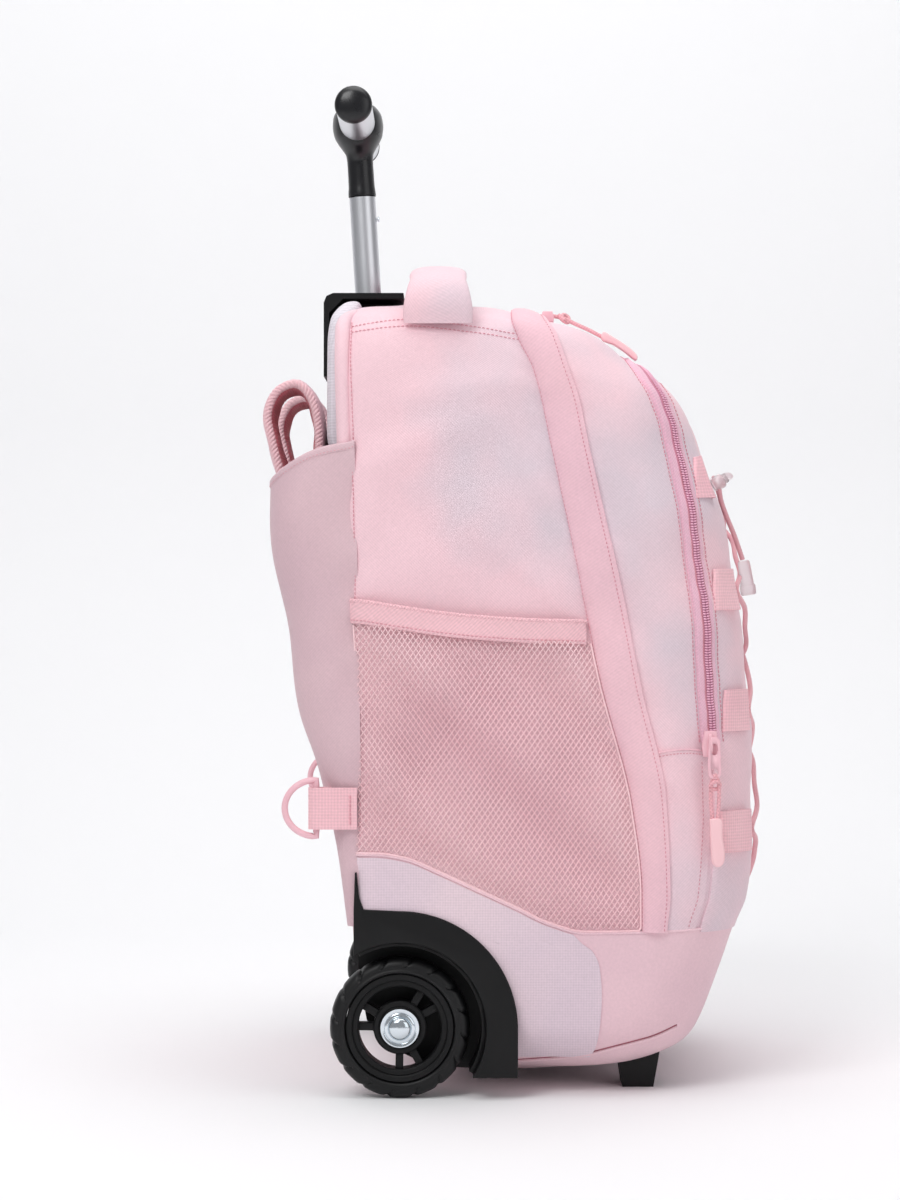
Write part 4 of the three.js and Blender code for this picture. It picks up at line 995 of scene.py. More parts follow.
def make_back_pad():
    """The padded back panel: soft spacer mesh, swelled, with a channel down its middle and three across."""
    rows = [(205, -106, -97, 98, 4), (212, -110, -97, 106, 5), (222, -112, -97, 110, 6)]
    rows += [(z, -112.5, -98, 112, 6) for z in range(234, 445, 12)]
    rows += [(452, -112.5, -99, 112, 6), (466, -112.5, -99, 110, 6), (476, -111, -97, 106, 6),
             (483, -107, -91, 98, 6), (487, -101, -90, 90, 4)]
    points, faces = swept(rounded_box_rings(rows, 6))
    piece = mesh_piece("back_panel_pad", points, faces, SPACER)
    notch = [(-18, 461), (18, 461), (18, 500), (-18, 500)]
    cut_away(piece, mesh_piece("notch_tool", *slab(notch, -140, -60, 0), BLACK))
    puffed(piece, 4, 5, 1.2)
    co = np.array([v.co for v in piece.data.vertices]) / MM
    dip = 3.2 * np.exp(-(co[:, 1] / 7) ** 2)
    for height in (262, 326, 390):
        dip = np.maximum(dip, 2.6 * np.exp(-((co[:, 2] - height) / 6) ** 2))
    co[:, 0] += np.where(co[:, 0] < -103, dip, 0)
    piece.data.vertices.foreach_set("co", (co * MM).astype(np.float32).ravel())
    own_weave(piece, 1, 2)
    return sit(piece, "bag", ["back_pad"])


MOUTH = {"out_x": -148, "out_z": 372, "seam_x": -98, "seam_z": 394}
COVER_ROUND = 26


def cover_ring(share, z, inset):
    """A point of the strap cover at a share of the way round it, from the left side seam to the right."""
    out = COVER_OUT(z) + inset
    half = 149.8 - inset
    seam = BACK(z) + 5
    radius = np.minimum(COVER_ROUND - inset, np.maximum((seam - out) * 0.75, 1))
    side_run = seam - out - radius
    parts = [side_run, radius * math.pi / 2, half - radius]
    whole = sum(parts)
    s = (1 - np.abs(share)) * whole
    turn = np.clip((s - parts[0]) / radius, 0, math.pi / 2)
    x = seam - np.minimum(s, parts[0]) - radius * np.sin(turn)
    y = half - radius * (1 - np.cos(turn)) - np.maximum(s - parts[0] - parts[1], 0)
    return np.stack([x, y * np.where(share < 0, 1, -1) * -1, z], -1), s


def cover_folds(p):
    pucker = 1.0 * np.exp(-((p[..., 0] + 97) / 7) ** 2) * np.sin(p[..., 2] / 6.5 + 1.5
                                                                 * np.sin(p[..., 2] / 23))
    soft = 1.1 * wave(p, (0.2, 0.5, 0.85), 88, 0.7) + 0.8 * wave(p, (-0.6, 0.4, 0.6), 61, 2.4)
    return (pucker + soft) * np.clip((p[..., 2] - 104) / 40, 0, 1)


def make_back_edge(side, sign):
    """The rolled edge of the bag's back, from inside the cover's mouth up to the top corner."""
    z = np.linspace(378, 476, 50)
    bare, _ = on_side(BACK(z) + 8, z, sign, 0)
    ease = np.clip((z - 464) / 12, 0, 1) ** 2
    line = np.stack([BACK(z) - 1.4 + 5 * ease, bare[:, 1] - sign * (5.2 + 3 * ease), z], -1)
    sit(tube(f"back_edge_{side}", line, 4.6 - 2.2 * ease, TWILL, 18), "bag")


def make_cover():
    """The cover that the straps fold into: a shell sewn on three sides, open along its hemmed top."""
    steps = np.linspace(0, 1, 74)
    shares = np.linspace(-1, 1, 171)
    v, u = np.meshgrid(steps, shares, indexing="ij")

    def surface(inset):
        z = 104 + 280 * v
        for _ in range(6):
            p, s = cover_ring(u, z, inset)
            x = p[..., 0]
            slope = (MOUTH["out_z"] - MOUTH["seam_z"]) / (MOUTH["out_x"] - MOUTH["seam_x"])
            mouth = MOUTH["seam_z"] + slope * (x - MOUTH["seam_x"])
            mouth = mouth + 5 * np.sin(np.pi * np.clip((x - MOUTH["out_x"]) / 50, 0, 1))
            z = 104 + (mouth - 104) * v
        p, s = cover_ring(u, z, inset)
        outward = np.stack([np.clip((-p[..., 0] - 108) / 26, 0, 1) * -1, np.sign(p[..., 1]) * np.clip(
            (np.abs(p[..., 1]) - 118) / 20, 0, 1), 0 * z], -1)
        outward /= np.maximum(np.linalg.norm(outward, axis=-1, keepdims=True), 0.5)
        return p + outward * cover_folds(p)[..., None], s, z
    outer, s, z = surface(0.0)
    inner, _, _ = surface(2.0)
    rows, columns = outer.shape[:2]
    points = np.concatenate([outer.reshape(-1, 3), inner.reshape(-1, 3)])
    faces = grid_faces(rows, columns) + [f[::-1] for f in grid_faces(rows, columns, first=rows * columns)]
    shift = rows * columns
    for c in range(columns - 1):
        a = (rows - 1) * columns + c
        faces.append((a, a + 1, a + 1 + shift, a + shift))
        faces.append((c + 1, c, c + shift, c + 1 + shift))
    for r in range(rows - 1):
        for c, flip in ((0, True), (columns - 1, False)):
            a = r * columns + c
            quad = (a, a + columns, a + columns + shift, a + shift)
            faces.append(quad if not flip else quad[::-1])
    cloth = np.stack([s * np.where(u < 0, -1, 1), z], -1).reshape(-1, 2)
    piece = mesh_piece("strap_stow_cover", points, faces, COVER_SHADED_TWILL, np.concatenate([cloth, cloth]), 50)
    sit(piece, "bag", ["strap_cover"])
    # Hem along the mouth: a narrow double fold with its stitching
    hem = outer[-1]
    outward = np.gradient(hem, axis=0)
    outward = np.cross(outward, UP)
    outward /= np.linalg.norm(outward, axis=1, keepdims=True)
    outward *= np.sign(np.sum(outward * (hem - np.array([-60, 0, 380])), axis=1))[:, None]
    rings = []
    for rise, out in ((-4, -1.0), (-4, 0.35), (-2.4, 0.6), (-0.5, 0.6), (0.8, 0.1), (1.0, -1.0), (0.5, -2.2),
                      (-4, -2.6)):
        rings.append(hem + UP * rise + outward * out)
    rings = np.stack(rings, 1)
    band, faces = swept(rings)
    cloth = np.stack(np.broadcast_arrays(np.arange(8)[None] * 2.0, along(hem)[:, None]), -1)
    sit(mesh_piece("cover_hem", band, faces, COVER_SHADED_TWILL, cloth, 60), "bag")
    stitched("cover_hem_stitch", hem + UP * -3.1 + outward * 0.45, outward, 2.2, 1.4, 0.2, 0.12)


STRAP_LEG = -119
STRAP_PATH = (
    (STRAP_LEG, 336), (STRAP_LEG, 375), (STRAP_LEG - 0.3, 408), (-124, 426), (-132.5, 434), (-144, 430),
    (-150.5, 416), (-147.6, 398), (-141.4, 374), (-137, 345), (-132.8, 310), (-129.4, 282), (-126, 258),
)
STRAP = {"y": 62, "half": 30, "thick": 7.4}


def make_strap(side, sign):
    """A shoulder strap bent over and tucked away: twill outside, deep rose lining inside (partly painted
    shade), rope piping.
    """
    path = smooth_line(STRAP_PATH, 3.0)
    direction = np.gradient(path, axis=0)
    direction /= np.linalg.norm(direction, axis=1, keepdims=True)
    out = np.stack([direction[:, 1], -direction[:, 0]], -1)
    centre = np.array([-131.0, 405.0])
    out *= np.sign(np.sum(out * (path - centre), axis=1).mean())
    run = along(path)
    across = np.linspace(-1, 1, 25)
    rim = np.sqrt(np.clip(1 - np.abs(across) ** 6, 0, 1))

    def face(height, wrinkle):
        rows = []
        for k, (px, pz) in enumerate(path):
            y = sign * STRAP["y"] + across * STRAP["half"]
            w = wrinkle * (np.sin(run[k] / 4.6 + 2.2 * across) * 0.6 + np.sin(run[k] / 2.9 - 3 * across + 1)
                           * 0.4)
            h = height * rim + w * rim
            rows.append(np.stack([px + out[k, 0] * h, y, pz + out[k, 1] * h], -1))
        return np.array(rows)
    half = STRAP["thick"] / 2
    outer_face, middle, inner_face = face(half, 0.25), face(0.0, 0.0), face(-half, 0.55)
    for name, surface, finish in (("strap_outer", outer_face, PADDED), ("strap_lining", inner_face, LINING)):
        rings = np.concatenate([surface, middle[:, ::-1]], 1)
        width = np.concatenate([across, across[::-1]]) * STRAP["half"]
        cloth = np.stack(np.broadcast_arrays(width[None], run[:, None]), -1)
        points, faces = swept(rings)
        piece = mesh_piece(f"{name}_{side}", points, faces, finish, cloth, 60)
        nodes = [f"shoulder_strap_{side}"] if name == "strap_outer" else []
        sit(piece, "bag", nodes)
    strands = []
    for edge in (-1, 1):
        y = sign * STRAP["y"] + edge * (STRAP["half"] - 0.6)
        core = np.stack([path[:, 0], y + 0 * path[:, 0], path[:, 1]], -1)
        core = smooth_line(core, 0.9)
        tangent, up, across_dir = frames_along(core, (1, 0, 0))
        length = along(core)
        for strand in range(3):
            angle = length / 7.5 * TURN + strand * TURN / 3
            offset = up * np.cos(angle)[:, None] * 1.5 + across_dir * np.sin(angle)[:, None] * 1.2
            strands.append(swept(round_rings(core + offset, 1.35, 6, (1, 0, 0))))
    points, faces = gathered(strands)
    sit(mesh_piece(f"strap_piping_{side}", points, faces, PIPING, np.zeros((len(points), 2)), 180), "bag")


def make_grab_handle():
    """The padded grab handle that arches across the top, sewn down above both side seams."""
    half_path = [(-141.6, 467), (-142.6, 478), (-137.6, 488.5), (-121, 496.5), (-80, 503.5), (0, 508.5)]
    path = smooth_line(half_path + [(-y, z) for y, z in half_path[:-1][::-1]], 4.0)
    tangent = np.gradient(path, axis=0)
    tangent /= np.linalg.norm(tangent, axis=1, keepdims=True)
    out = np.stack([-tangent[:, 1], tangent[:, 0]], -1)
    out *= np.sign(out[len(out) // 2, 1])
    run = along(path)
    angle = np.arange(40) / 40 * TURN
    squared = lambda a, power: np.sign(a) * np.abs(a) ** power
    rings = []
    for k, (py, pz) in enumerate(path):
        end = min(run[k], run[-1] - run[k])
        width = 20.8 - 3.6 * float(np.clip((end - 8) / 26, 0, 1)) + 0.3 * math.sin(run[k] / 6.1)
        thick = 2.4 + 2.4 * float(np.clip(end / 22, 0, 1)) + 0.25 * math.sin(run[k] / 9)
        across = width * squared(np.cos(angle), 0.72)
        height = thick * squared(np.sin(angle), 0.9)
        rings.append(np.stack([-44.5 + across, py + out[k, 0] * height, pz + out[k, 1] * height], -1))
    points, faces = swept(np.array(rings))
    cloth = np.stack(np.broadcast_arrays(angle[None] * 14, run[:, None]), -1)
    piece = mesh_piece("grab_handle_pad", points, faces, TWILL, cloth, 60)
    sit(piece, "bag", ["grab_handle"])


# D-rings, webbing loops and the laced cord

def make_ring(side, sign):
    x, z, y = -117.5, 175, sign * 148
    bow = [(x + math.cos(a) * 19, z + math.sin(a) * 17) for a in np.linspace(math.pi / 2, math.pi * 1.5, 25)]
    bar = [(x, z + h) for h in np.linspace(-14, 14, 8)]
    loop = np.array([(px, y, pz) for px, pz in bow + bar])
    rings = []
    count = len(loop)
    for i in range(count):
        t = loop[(i + 1) % count] - loop[i - 1]
        t /= np.linalg.norm(t)
        across = np.array([0.0, 1.0, 0.0])
        up = np.cross(t, across)
        a = np.arange(10) / 10 * TURN
        rings.append(loop[i] + across * np.cos(a)[:, None] * 2 + up * np.sin(a)[:, None] * 2)
    rings = np.array(rings)
    faces = []
    for i in range(count):
        for j in range(10):
            n, m = (i + 1) % count, (j + 1) % 10
            faces.append((i * 10 + j, i * 10 + m, n * 10 + m, n * 10 + j))
    sit(mesh_piece(f"dee_ring_{side}", rings, faces, PINK), f"ring_{side}",
        [f"d_ring_{side}"])

    # Webbing folded round the ring's straight bar and sewn to the side seam
    fold = [(-93, 151.6), (-103, 152.2), (-112, 152.5), (-118, 152.4), (-121, 150.6), (-121.6, 148),
            (-120.6, 145), (-118, 143.9), (-112, 143.8), (-106, 144.6), (-101, 147.5)]
    path = smooth_line(fold, 1.6)
    t = np.gradient(path, axis=0)
    t /= np.linalg.norm(t, axis=1, keepdims=True)
    n = np.stack([-t[:, 1], t[:, 0]], -1) * 0.75
    heights = np.linspace(-12.5, 12.5, 9)
    rings = []
    for k, (px, py) in enumerate(path):
        outer = [(px + n[k, 0], sign * (py + n[k, 1]), z + h) for h in heights]
        inner = [(px - n[k, 0], sign * (py - n[k, 1]), z + h) for h in heights[::-1]]
        rings.append(outer + inner)
    points, faces = swept(np.array(rings))
    width = np.concatenate([heights, heights[::-1]])
    cloth = np.stack(np.broadcast_arrays(width[None], along(path)[:, None]), -1)
    piece = mesh_piece(f"ring_tab_{side}", points, faces, WEBBING, cloth, 60)
    sit(piece, "bag", [f"d_ring_tab_{side}"])
    line = np.array([(px, sign * 153.1, z + h) for px, h in [(-97, -10)]
                     + [(-97, k) for k in (-5, 0, 5, 10)]], float)
    stitched(f"ring_tab_stitch_{side}", line, np.tile([0.0, sign, 0.0], (5, 1)))


LOOPS = ((374, 110.5), (306, 120.5), (233, 127), (160, 125))
LOOP_END = 119.0


def front_share(y, z):
    """The share round the form where it passes a distance from the middle, on its front."""
    low, high = 0.5 + 0 * z, 1 + 0 * z
    for _ in range(30):
        half_way = (low + high) / 2
        outside = np.abs(ring_point(half_way, z)[0][..., 1]) > np.abs(y)
        low = np.where(outside, half_way, low)
        high = np.where(outside, high, half_way)
    return low


def make_loops():
    """Webbing loops: each a tape sewn to the pocket's gusset, folded back on itself round the cord."""
    for index, (z, start) in enumerate(LOOPS, 1):
        heights = np.linspace(-12.5, 12.5, 9) + z
        for side, sign in SIDES:
            end_share = front_share(LOOP_END + 0 * heights, heights)
            low, high = 0.5 + 0 * heights, end_share + 0
            for _ in range(30):
                half_way = (low + high) / 2
                ahead = ring_point(half_way, heights)[0][..., 0] > start
                high = np.where(ahead, half_way, high)
                low = np.where(ahead, low, half_way)
            begin_share = high
            stations = [(0.0, 2.2), (0.05, 3.5), (0.15, 4.0), (0.35, 4.2), (0.6, 4.5), (0.8, 5.2),
                        (0.93, 5.7), (1.0, 5.3), (1.03, 4.4), (1.03, 3.4), (1.0, 2.6), (0.93, 2.3),
                        (0.8, 2.2), (0.5, 2.2), (0.2, 2.2)]
            shares = smooth_line(stations, 0.06)
            rings = []
            for t, lift in shares:
                share = begin_share + (end_share - begin_share) * t
                bare, _ = ring_point(share, heights)
                near, _ = dressed(bare, lift)
                rings.append(near)
            rings = np.array(rings)
            if sign < 0:
                rings[..., 1] *= -1
            tangent = np.gradient(rings, axis=0)
            tangent /= np.maximum(np.linalg.norm(tangent, axis=-1, keepdims=True), 1e-9)
            normal = np.cross(tangent, UP)
            normal /= np.maximum(np.linalg.norm(normal, axis=-1, keepdims=True), 1e-9)
            both = np.concatenate([rings + normal * 0.65, (rings - normal * 0.65)[:, ::-1]], 1)
            points, faces = swept(both)
            run = along(rings[:, 4])
            width = np.concatenate([heights, heights[::-1]])
            cloth = np.stack(np.broadcast_arrays(width[None], run[:, None]), -1)
            piece = mesh_piece(f"cord_loop_{side}_{index}", points, faces, WEBBING, cloth, 60)
            sit(piece, "bag", [f"web_loop_{side}_{index}"])


CORD_RADIUS = 1.6
LOCK = (130.2, -89.0, 373.5)


def front_face(y, z):
    flat = HALF(z) - FRONT_ROUND(z)
    share = min(1.0, abs(y) / flat)
    past = max(0.0, abs(y) - flat)
    radius = float(FRONT_ROUND(z))
    return FRONT(z) + 1.5 + CROWN * (1 - share * share) - (radius - math.sqrt(radius ** 2 - past ** 2))


def make_lacing():
    """The elastic cord laced in crosses through the eight loops, both ends brought up to the cord lock."""
    turn = LOOP_END - CORD_RADIUS - 1.2
    stand = CORD_RADIUS + 1.0
    at = lambda sign, i: (sign * turn, LOOPS[i][0])
    stops = [(LOCK[1] + 6.5, LOCK[2] - 2), at(1, 1), at(-1, 2), at(1, 3), (0, 112), at(-1, 3), at(1, 2),
             at(-1, 1), at(1, 0), (LOCK[1] + 6.5, LOCK[2] + 2.5)]
    points = []
    for i, (y, z) in enumerate(stops):
        points.append((front_face(y, z) + stand, y, z))
        if i + 1 == len(stops):
            break
        lift = CORD_RADIUS * 2 + 0.7 if 4 < i < 8 else 0
        ny, nz = stops[i + 1]
        for share in (0.15, 0.32, 0.5, 0.68, 0.85):
            py, pz = y + (ny - y) * share, z + (nz - z) * share
            points.append((front_face(py, pz) + stand + lift * (1 if share == 0.5 else 0.4), py, pz))
    line = smooth_line(points, 2.4)
    piece = tube("laced_elastic", line, CORD_RADIUS, CORD, 10, (0, 1, 0))
    return sit(piece, "bag", ["lacing_cord"])


TAIL = ((130, 368.6), (131, 362), (134.5, 352), (139, 341), (142.5, 331), (144.5, 325))
TAIL_RADIUS = 1.3


def free_cord(name, points, radius, node, body="bag"):
    """A free cord as one smooth curve with its real thickness."""
    curve = bpy.data.curves.new(name, "CURVE")
    curve.dimensions = "3D"
    curve.bevel_depth = radius * MM
    curve.bevel_resolution = 3
    curve.resolution_u = 4
    line = smooth_line(points, 3.0)
    spline = curve.splines.new("POLY")
    spline.points.add(len(line) - 1)
    for spot, p in zip(spline.points, line):
        spot.co = (*(p * MM), 1)
    curve.use_fill_caps = True
    curve.materials.append(CORD)
    piece = bpy.data.objects.new(name, curve)
    bpy.context.scene.collection.objects.link(piece)
    tuple(np.array(points[0]) * MM)
    along(line)[-1] * MM
    return sit(piece, body, [node])


def make_cord_lock():
    """The toggle that grips the elastic, its two free ends and their moulded cover."""
    x, y, z = LOCK
    barrel = turned_rings([(0, -5.2), (3.4, -5.2), (4.2, -4.4), (4.6, -2), (4.6, 1.5), (4.0, 2.6), (3.0, 3.0),
                           (3.0, 4.6), (2.6, 5.3), (0, 5.4)], 24, (x, y, z), (0.86, 0, 0.5))
    parts = [swept(barrel)]
    ear = arc(0, 0, 4.2, 0, TURN, 20)[:-1]
    points, faces = slab([(x + 4.5 + u * 0.9, z + 3.2 + v * 0.6) for u, v in ear], y - 1.6, y + 1.6, 1, 0.5)
    parts.append((points, faces))
    points, faces = gathered(parts)
    sit(mesh_piece("cord_lock_toggle", points, faces, CLEAR), "bag", ["cord_lock"])
    rows = []
    for d, w, t in ((0, 4.0, 2.6), (0.8, 4.6, 3.2), (3, 4.9, 3.5), (6.2, 4.9, 3.6), (6.3, 4.2, 3.2),
                    (17, 3.9, 3.0), (20.6, 3.7, 2.8), (21.6, 3.0, 2.2)):
        a = np.arange(28) / 28 * TURN
        u = np.sign(np.cos(a)) * np.abs(np.cos(a)) ** 0.6 * w
        v = np.sign(np.sin(a)) * np.abs(np.sin(a)) ** 0.6 * t
        rows.append(np.stack([u, v, 0 * a - 21.6 + d], -1))
    rows = np.array(rows)
    lean = 0.16
    px = 145 + rows[..., 0] * math.cos(lean) - rows[..., 2] * math.sin(lean)
    pz = 324.4 + rows[..., 0] * math.sin(lean) + rows[..., 2] * math.cos(lean)
    points, faces = swept(np.stack([px, y + rows[..., 1], pz], -1))
    cover = sit(mesh_piece("cord_end_cover", points, faces, CLEAR, None, 50), "bag",
                ["cord_end"])
    for index, shift in enumerate((-2, 2), 1):
        points = [(px, y + shift * (1 if i == len(TAIL) - 1 else 1.2), pz) for i, (px, pz) in enumerate(TAIL)]
        free_cord(f"free_tail_{index}", points, TAIL_RADIUS, f"cord_tail_{index}")


# Zip sliders and their cord pulls

def make_pocket_pull():
    y = -151.0
    body = slab([(114.6, 206), (123.4, 206), (124, 212), (122.6, 221.5), (115.4, 221.5), (114, 212)], y - 1.4,
                y + 3.6, 1, 0.9)
    bridge = swept(round_rings(np.array([(119, y - 1.0, 219), (119, y - 3.4, 216), (119, y - 3.6, 211),
                                         (119, y - 1.0, 207.5)], float), 1.3, 8, (1, 0, 0), 1.3))
    points, faces = gathered([body, bridge])
    sit(mesh_piece("pocket_slider", points, faces, PINK), "bag", ["pocket_zip_slider"])
    outline = [(117.6, 215)] + arc(121, 214.5, 3.6, math.pi, 0, 9)[::1] + [(124.9, 206), (125.2, 198)]
    outline += arc(121.2, 196.4, 3.9, 0, -math.pi, 10) + [(117.1, 203)]
    piece = mesh_piece("pull_tab", *slab(outline, y - 4.6, y - 2.8, 1, 0.5), PINK)
    for hole in (arc(121, 212.6, 2.1, 0, TURN, 17)[:-1], arc(121.2, 196.8, 2.2, 0, TURN, 17)[:-1]):
        stretched = [(u, 210.6 + (v - 212.6) * 1.7) if v > 205 else (u, v) for u, v in hole]
        cut_away(piece, mesh_piece("hole_tool", *slab(stretched, y - 9, y + 2, 1), PINK))
    sit(piece, "bag", ["pocket_pull_tab"])
    loop = [(120, 168.5), (119, 180), (119.2, 189), (120.2, 192.4), (121.6, 195.4), (123.2, 192.4),
            (124, 189), (124, 180), (123.2, 168.5)]
    depth = [0, 0, -0.6, -1.6, -2.6, -1.6, -0.6, 0, 0]
    cord = smooth_line([(px, y - 1.6 + d, pz) for (px, pz), d in zip(loop, depth)], 1.4)
    knot = smooth_line([(118.6, y - 2.2, 188), (119.6, y - 4.4, 190.5), (122.4, y - 4.8, 191.4),
                        (124.6, y - 2.6, 189.4), (123.4, y - 1.0, 187), (120.6, y - 2.0, 186.6),
                        (118.4, y - 3.2, 186.2)], 1.2)
    parts = [swept(round_rings(line, 1.15, 8, (0, 1, 0))) for line in (cord, knot)]
    points, faces = gathered(parts)
    piece = mesh_piece("pocket_pull_loop", points, faces, CORD, points[:, [0, 2]], 180)
    sit(piece, "bag", ["pocket_pull_cord"])
    outline = smooth_line([(118.2, 168.8), (121.6, 169.4), (125.2, 168.6), (126.0, 158), (127.4, 147),
                           (126.2, 141.6), (123, 139.9), (120.2, 141.6), (119.2, 148), (118.6, 158),
                           (118.2, 168.8)], 1.5)[:-1]
    piece = mesh_piece("pocket_pull_grip", *slab([tuple(p) for p in outline], y - 4.2, y + 0.4, 1, 1.4, 4),
                       SOFT_PINK)
    sit(piece, "bag", ["pocket_pull_end"])


def make_main_pull():
    y = -75.0
    body = slab([(20, 474), (27.4, 474), (27.8, 477), (26.6, 480.6), (20.6, 480.6), (19.6, 477)], y - 4,
                y + 4, 1, 0.9)
    sit(mesh_piece("main_slider", *body, PINK), "bag", ["main_zip_slider"])
    path = [(24, 478.4), (28.6, 477.6), (33.4, 476.6), (41, 473), (49, 469.4), (58, 464.8)]
    line = smooth_line([(px, y, pz) for px, pz in path], 1.5)
    knot = smooth_line([(30.6, y - 1.2, 478.6), (33, y - 2.4, 475.2), (36.4, y - 0.4, 473.8),
                        (37.0, y + 2.2, 477), (34.2, y + 1.6, 478.9), (32.6, y - 1.4, 477.6),
                        (34.4, y - 2.8, 474.2)], 1.1)
    parts = [swept(round_rings(path3, 1.25, 8, (0, 1, 0))) for path3 in (line, knot)]
    points, faces = gathered(parts)
    piece = mesh_piece("main_pull_loop", points, faces, CORD, points[:, [0, 2]], 180)
    sit(piece, "bag", ["main_pull_cord"])
    outline = smooth_line([(57.0, 465.0), (58.6, 467.8), (64, 465), (70.5, 461), (76.4, 456.6), (80, 452.2),
                           (79.4, 449.8), (76.4, 451.6), (71.4, 455.6), (64.5, 460), (58, 462.6),
                           (57.0, 465.0)], 1.5)[:-1]
    piece = mesh_piece("main_pull_grip", *slab([tuple(p) for p in outline], y - 4, y + 4, 1, 1.1, 4),
                       SOFT_PINK)
    sit(piece, "bag", ["main_pull_end"])


# Trolley and wheels

def leaning(points):
    """Points given beside the upright pole, leaned back with it."""
    points = np.asarray(points, float)
    c, s = math.cos(POLE["lean"]), math.sin(POLE["lean"])
    x = points[..., 0] * c - points[..., 2] * s
    z = points[..., 0] * s + points[..., 2] * c
    return np.stack([x + POLE["x"], points[..., 1], z + POLE["z"]], -1)


def make_trolley():
    r, top = POLE["radius"], POLE["top"]
    profile = [(r - 1.5, POLE["bottom"]), (r, POLE["bottom"] + 0.4), (r, top - 0.5), (r - 0.5, top),
               (r - 1.5, top)]
    rings = turned_rings(profile, 48, (0, 0, 0), (0, 0, 1))
    points = rings.reshape(-1, 3)
    faces = grid_faces(len(profile), 48, wrap=True)
    faces += [((len(profile) - 1) * 48 + k, (len(profile) - 1) * 48 + (k + 1) % 48, (k + 1) % 48, k)
              for k in range(48)]
    sit(mesh_piece("trolley_pole", leaning(points), faces, ALUMINIUM), "handle", ["pole"])

    # Clamp: a round neck that opens into a bulb under the bar, with an oval dimple on each side
    angle = np.arange(48) / 48 * TURN
    oval = lambda h, rx, ry: np.stack([np.cos(angle) * rx, np.sin(angle) * ry, 0 * angle + h], -1)
    neck = ((top - 3, 6.6, 6.6), (top + 0.2, 6.6, 6.6), (top + 0.3, 8.9, 8.9), (top + 1.2, 9.0, 9.0),
            (top + 8, 8.5, 8.5), (top + 22, 8.4, 8.4), (top + 27, 8.8, 10.5), (top + 31, 10.8, 15),
            (top + 35, 13.4, 19), (top + 40, 15.7, 22), (top + 46, 16.5, 23), (top + 52, 15.8, 22),
            (top + 57, 13.0, 19), (top + 60, 9.0, 14), (top + 61.6, 4, 8))
    level, wide, deep = np.array(neck).T
    fine = [np.linspace(level[i], level[i + 1], 5)[:-1] for i in range(2, len(level) - 1)]
    rings = [oval(*row) for row in neck[:3]]
    for h in np.concatenate(fine + [[level[-1]]]):
        ring = oval(h, curve_through(level, wide)(h), curve_through(level, deep)(h))
        dimple = np.exp(-((ring[:, 0]) / 5.0) ** 2 - ((h - top - 35.5) / 2.4) ** 2)
        ring[:, 1] -= np.sign(ring[:, 1]) * dimple * 2.6
        rings.append(ring)
    points, faces = swept(leaning(np.array(rings)))
    sit(mesh_piece("grip_bulb", points, faces, GLOSS_BLACK), "handle", ["grip_clamp"])

    gz, gr, half = GRIP["z"], GRIP["radius"], GRIP["half"]
    profile = [(gr - 1.6, -half), (gr - 0.3, -half), (gr, -half + 0.4), (gr, half - 0.4), (gr - 0.3, half),
               (gr - 1.6, half)]
    points, faces = swept(leaning(turned_rings(profile, 48, (0, 0, gz), (0, 1, 0))))
    sit(mesh_piece("grip_tube", points, faces, ALUMINIUM), "handle", ["grip_bar"])
    for side, sign in SIDES:
        profile = [(gr - 2, -10), (gr - 2, 0.2), (gr + 0.3, 0.2), (gr + 0.4, 1.2), (gr + 0.2, 3.2),
                   (gr - 1.0, 5.0), (gr - 4, 6.3), (gr - 8, 7.0), (0, 7.2)]
        points, faces = swept(leaning(turned_rings(profile, 48, (0, sign * half, gz), (0, sign, 0))))
        sit(mesh_piece(f"grip_end_{side}", points, faces, GLOSS_BLACK, None, 50), "handle",
            [f"grip_cap_{side}"])


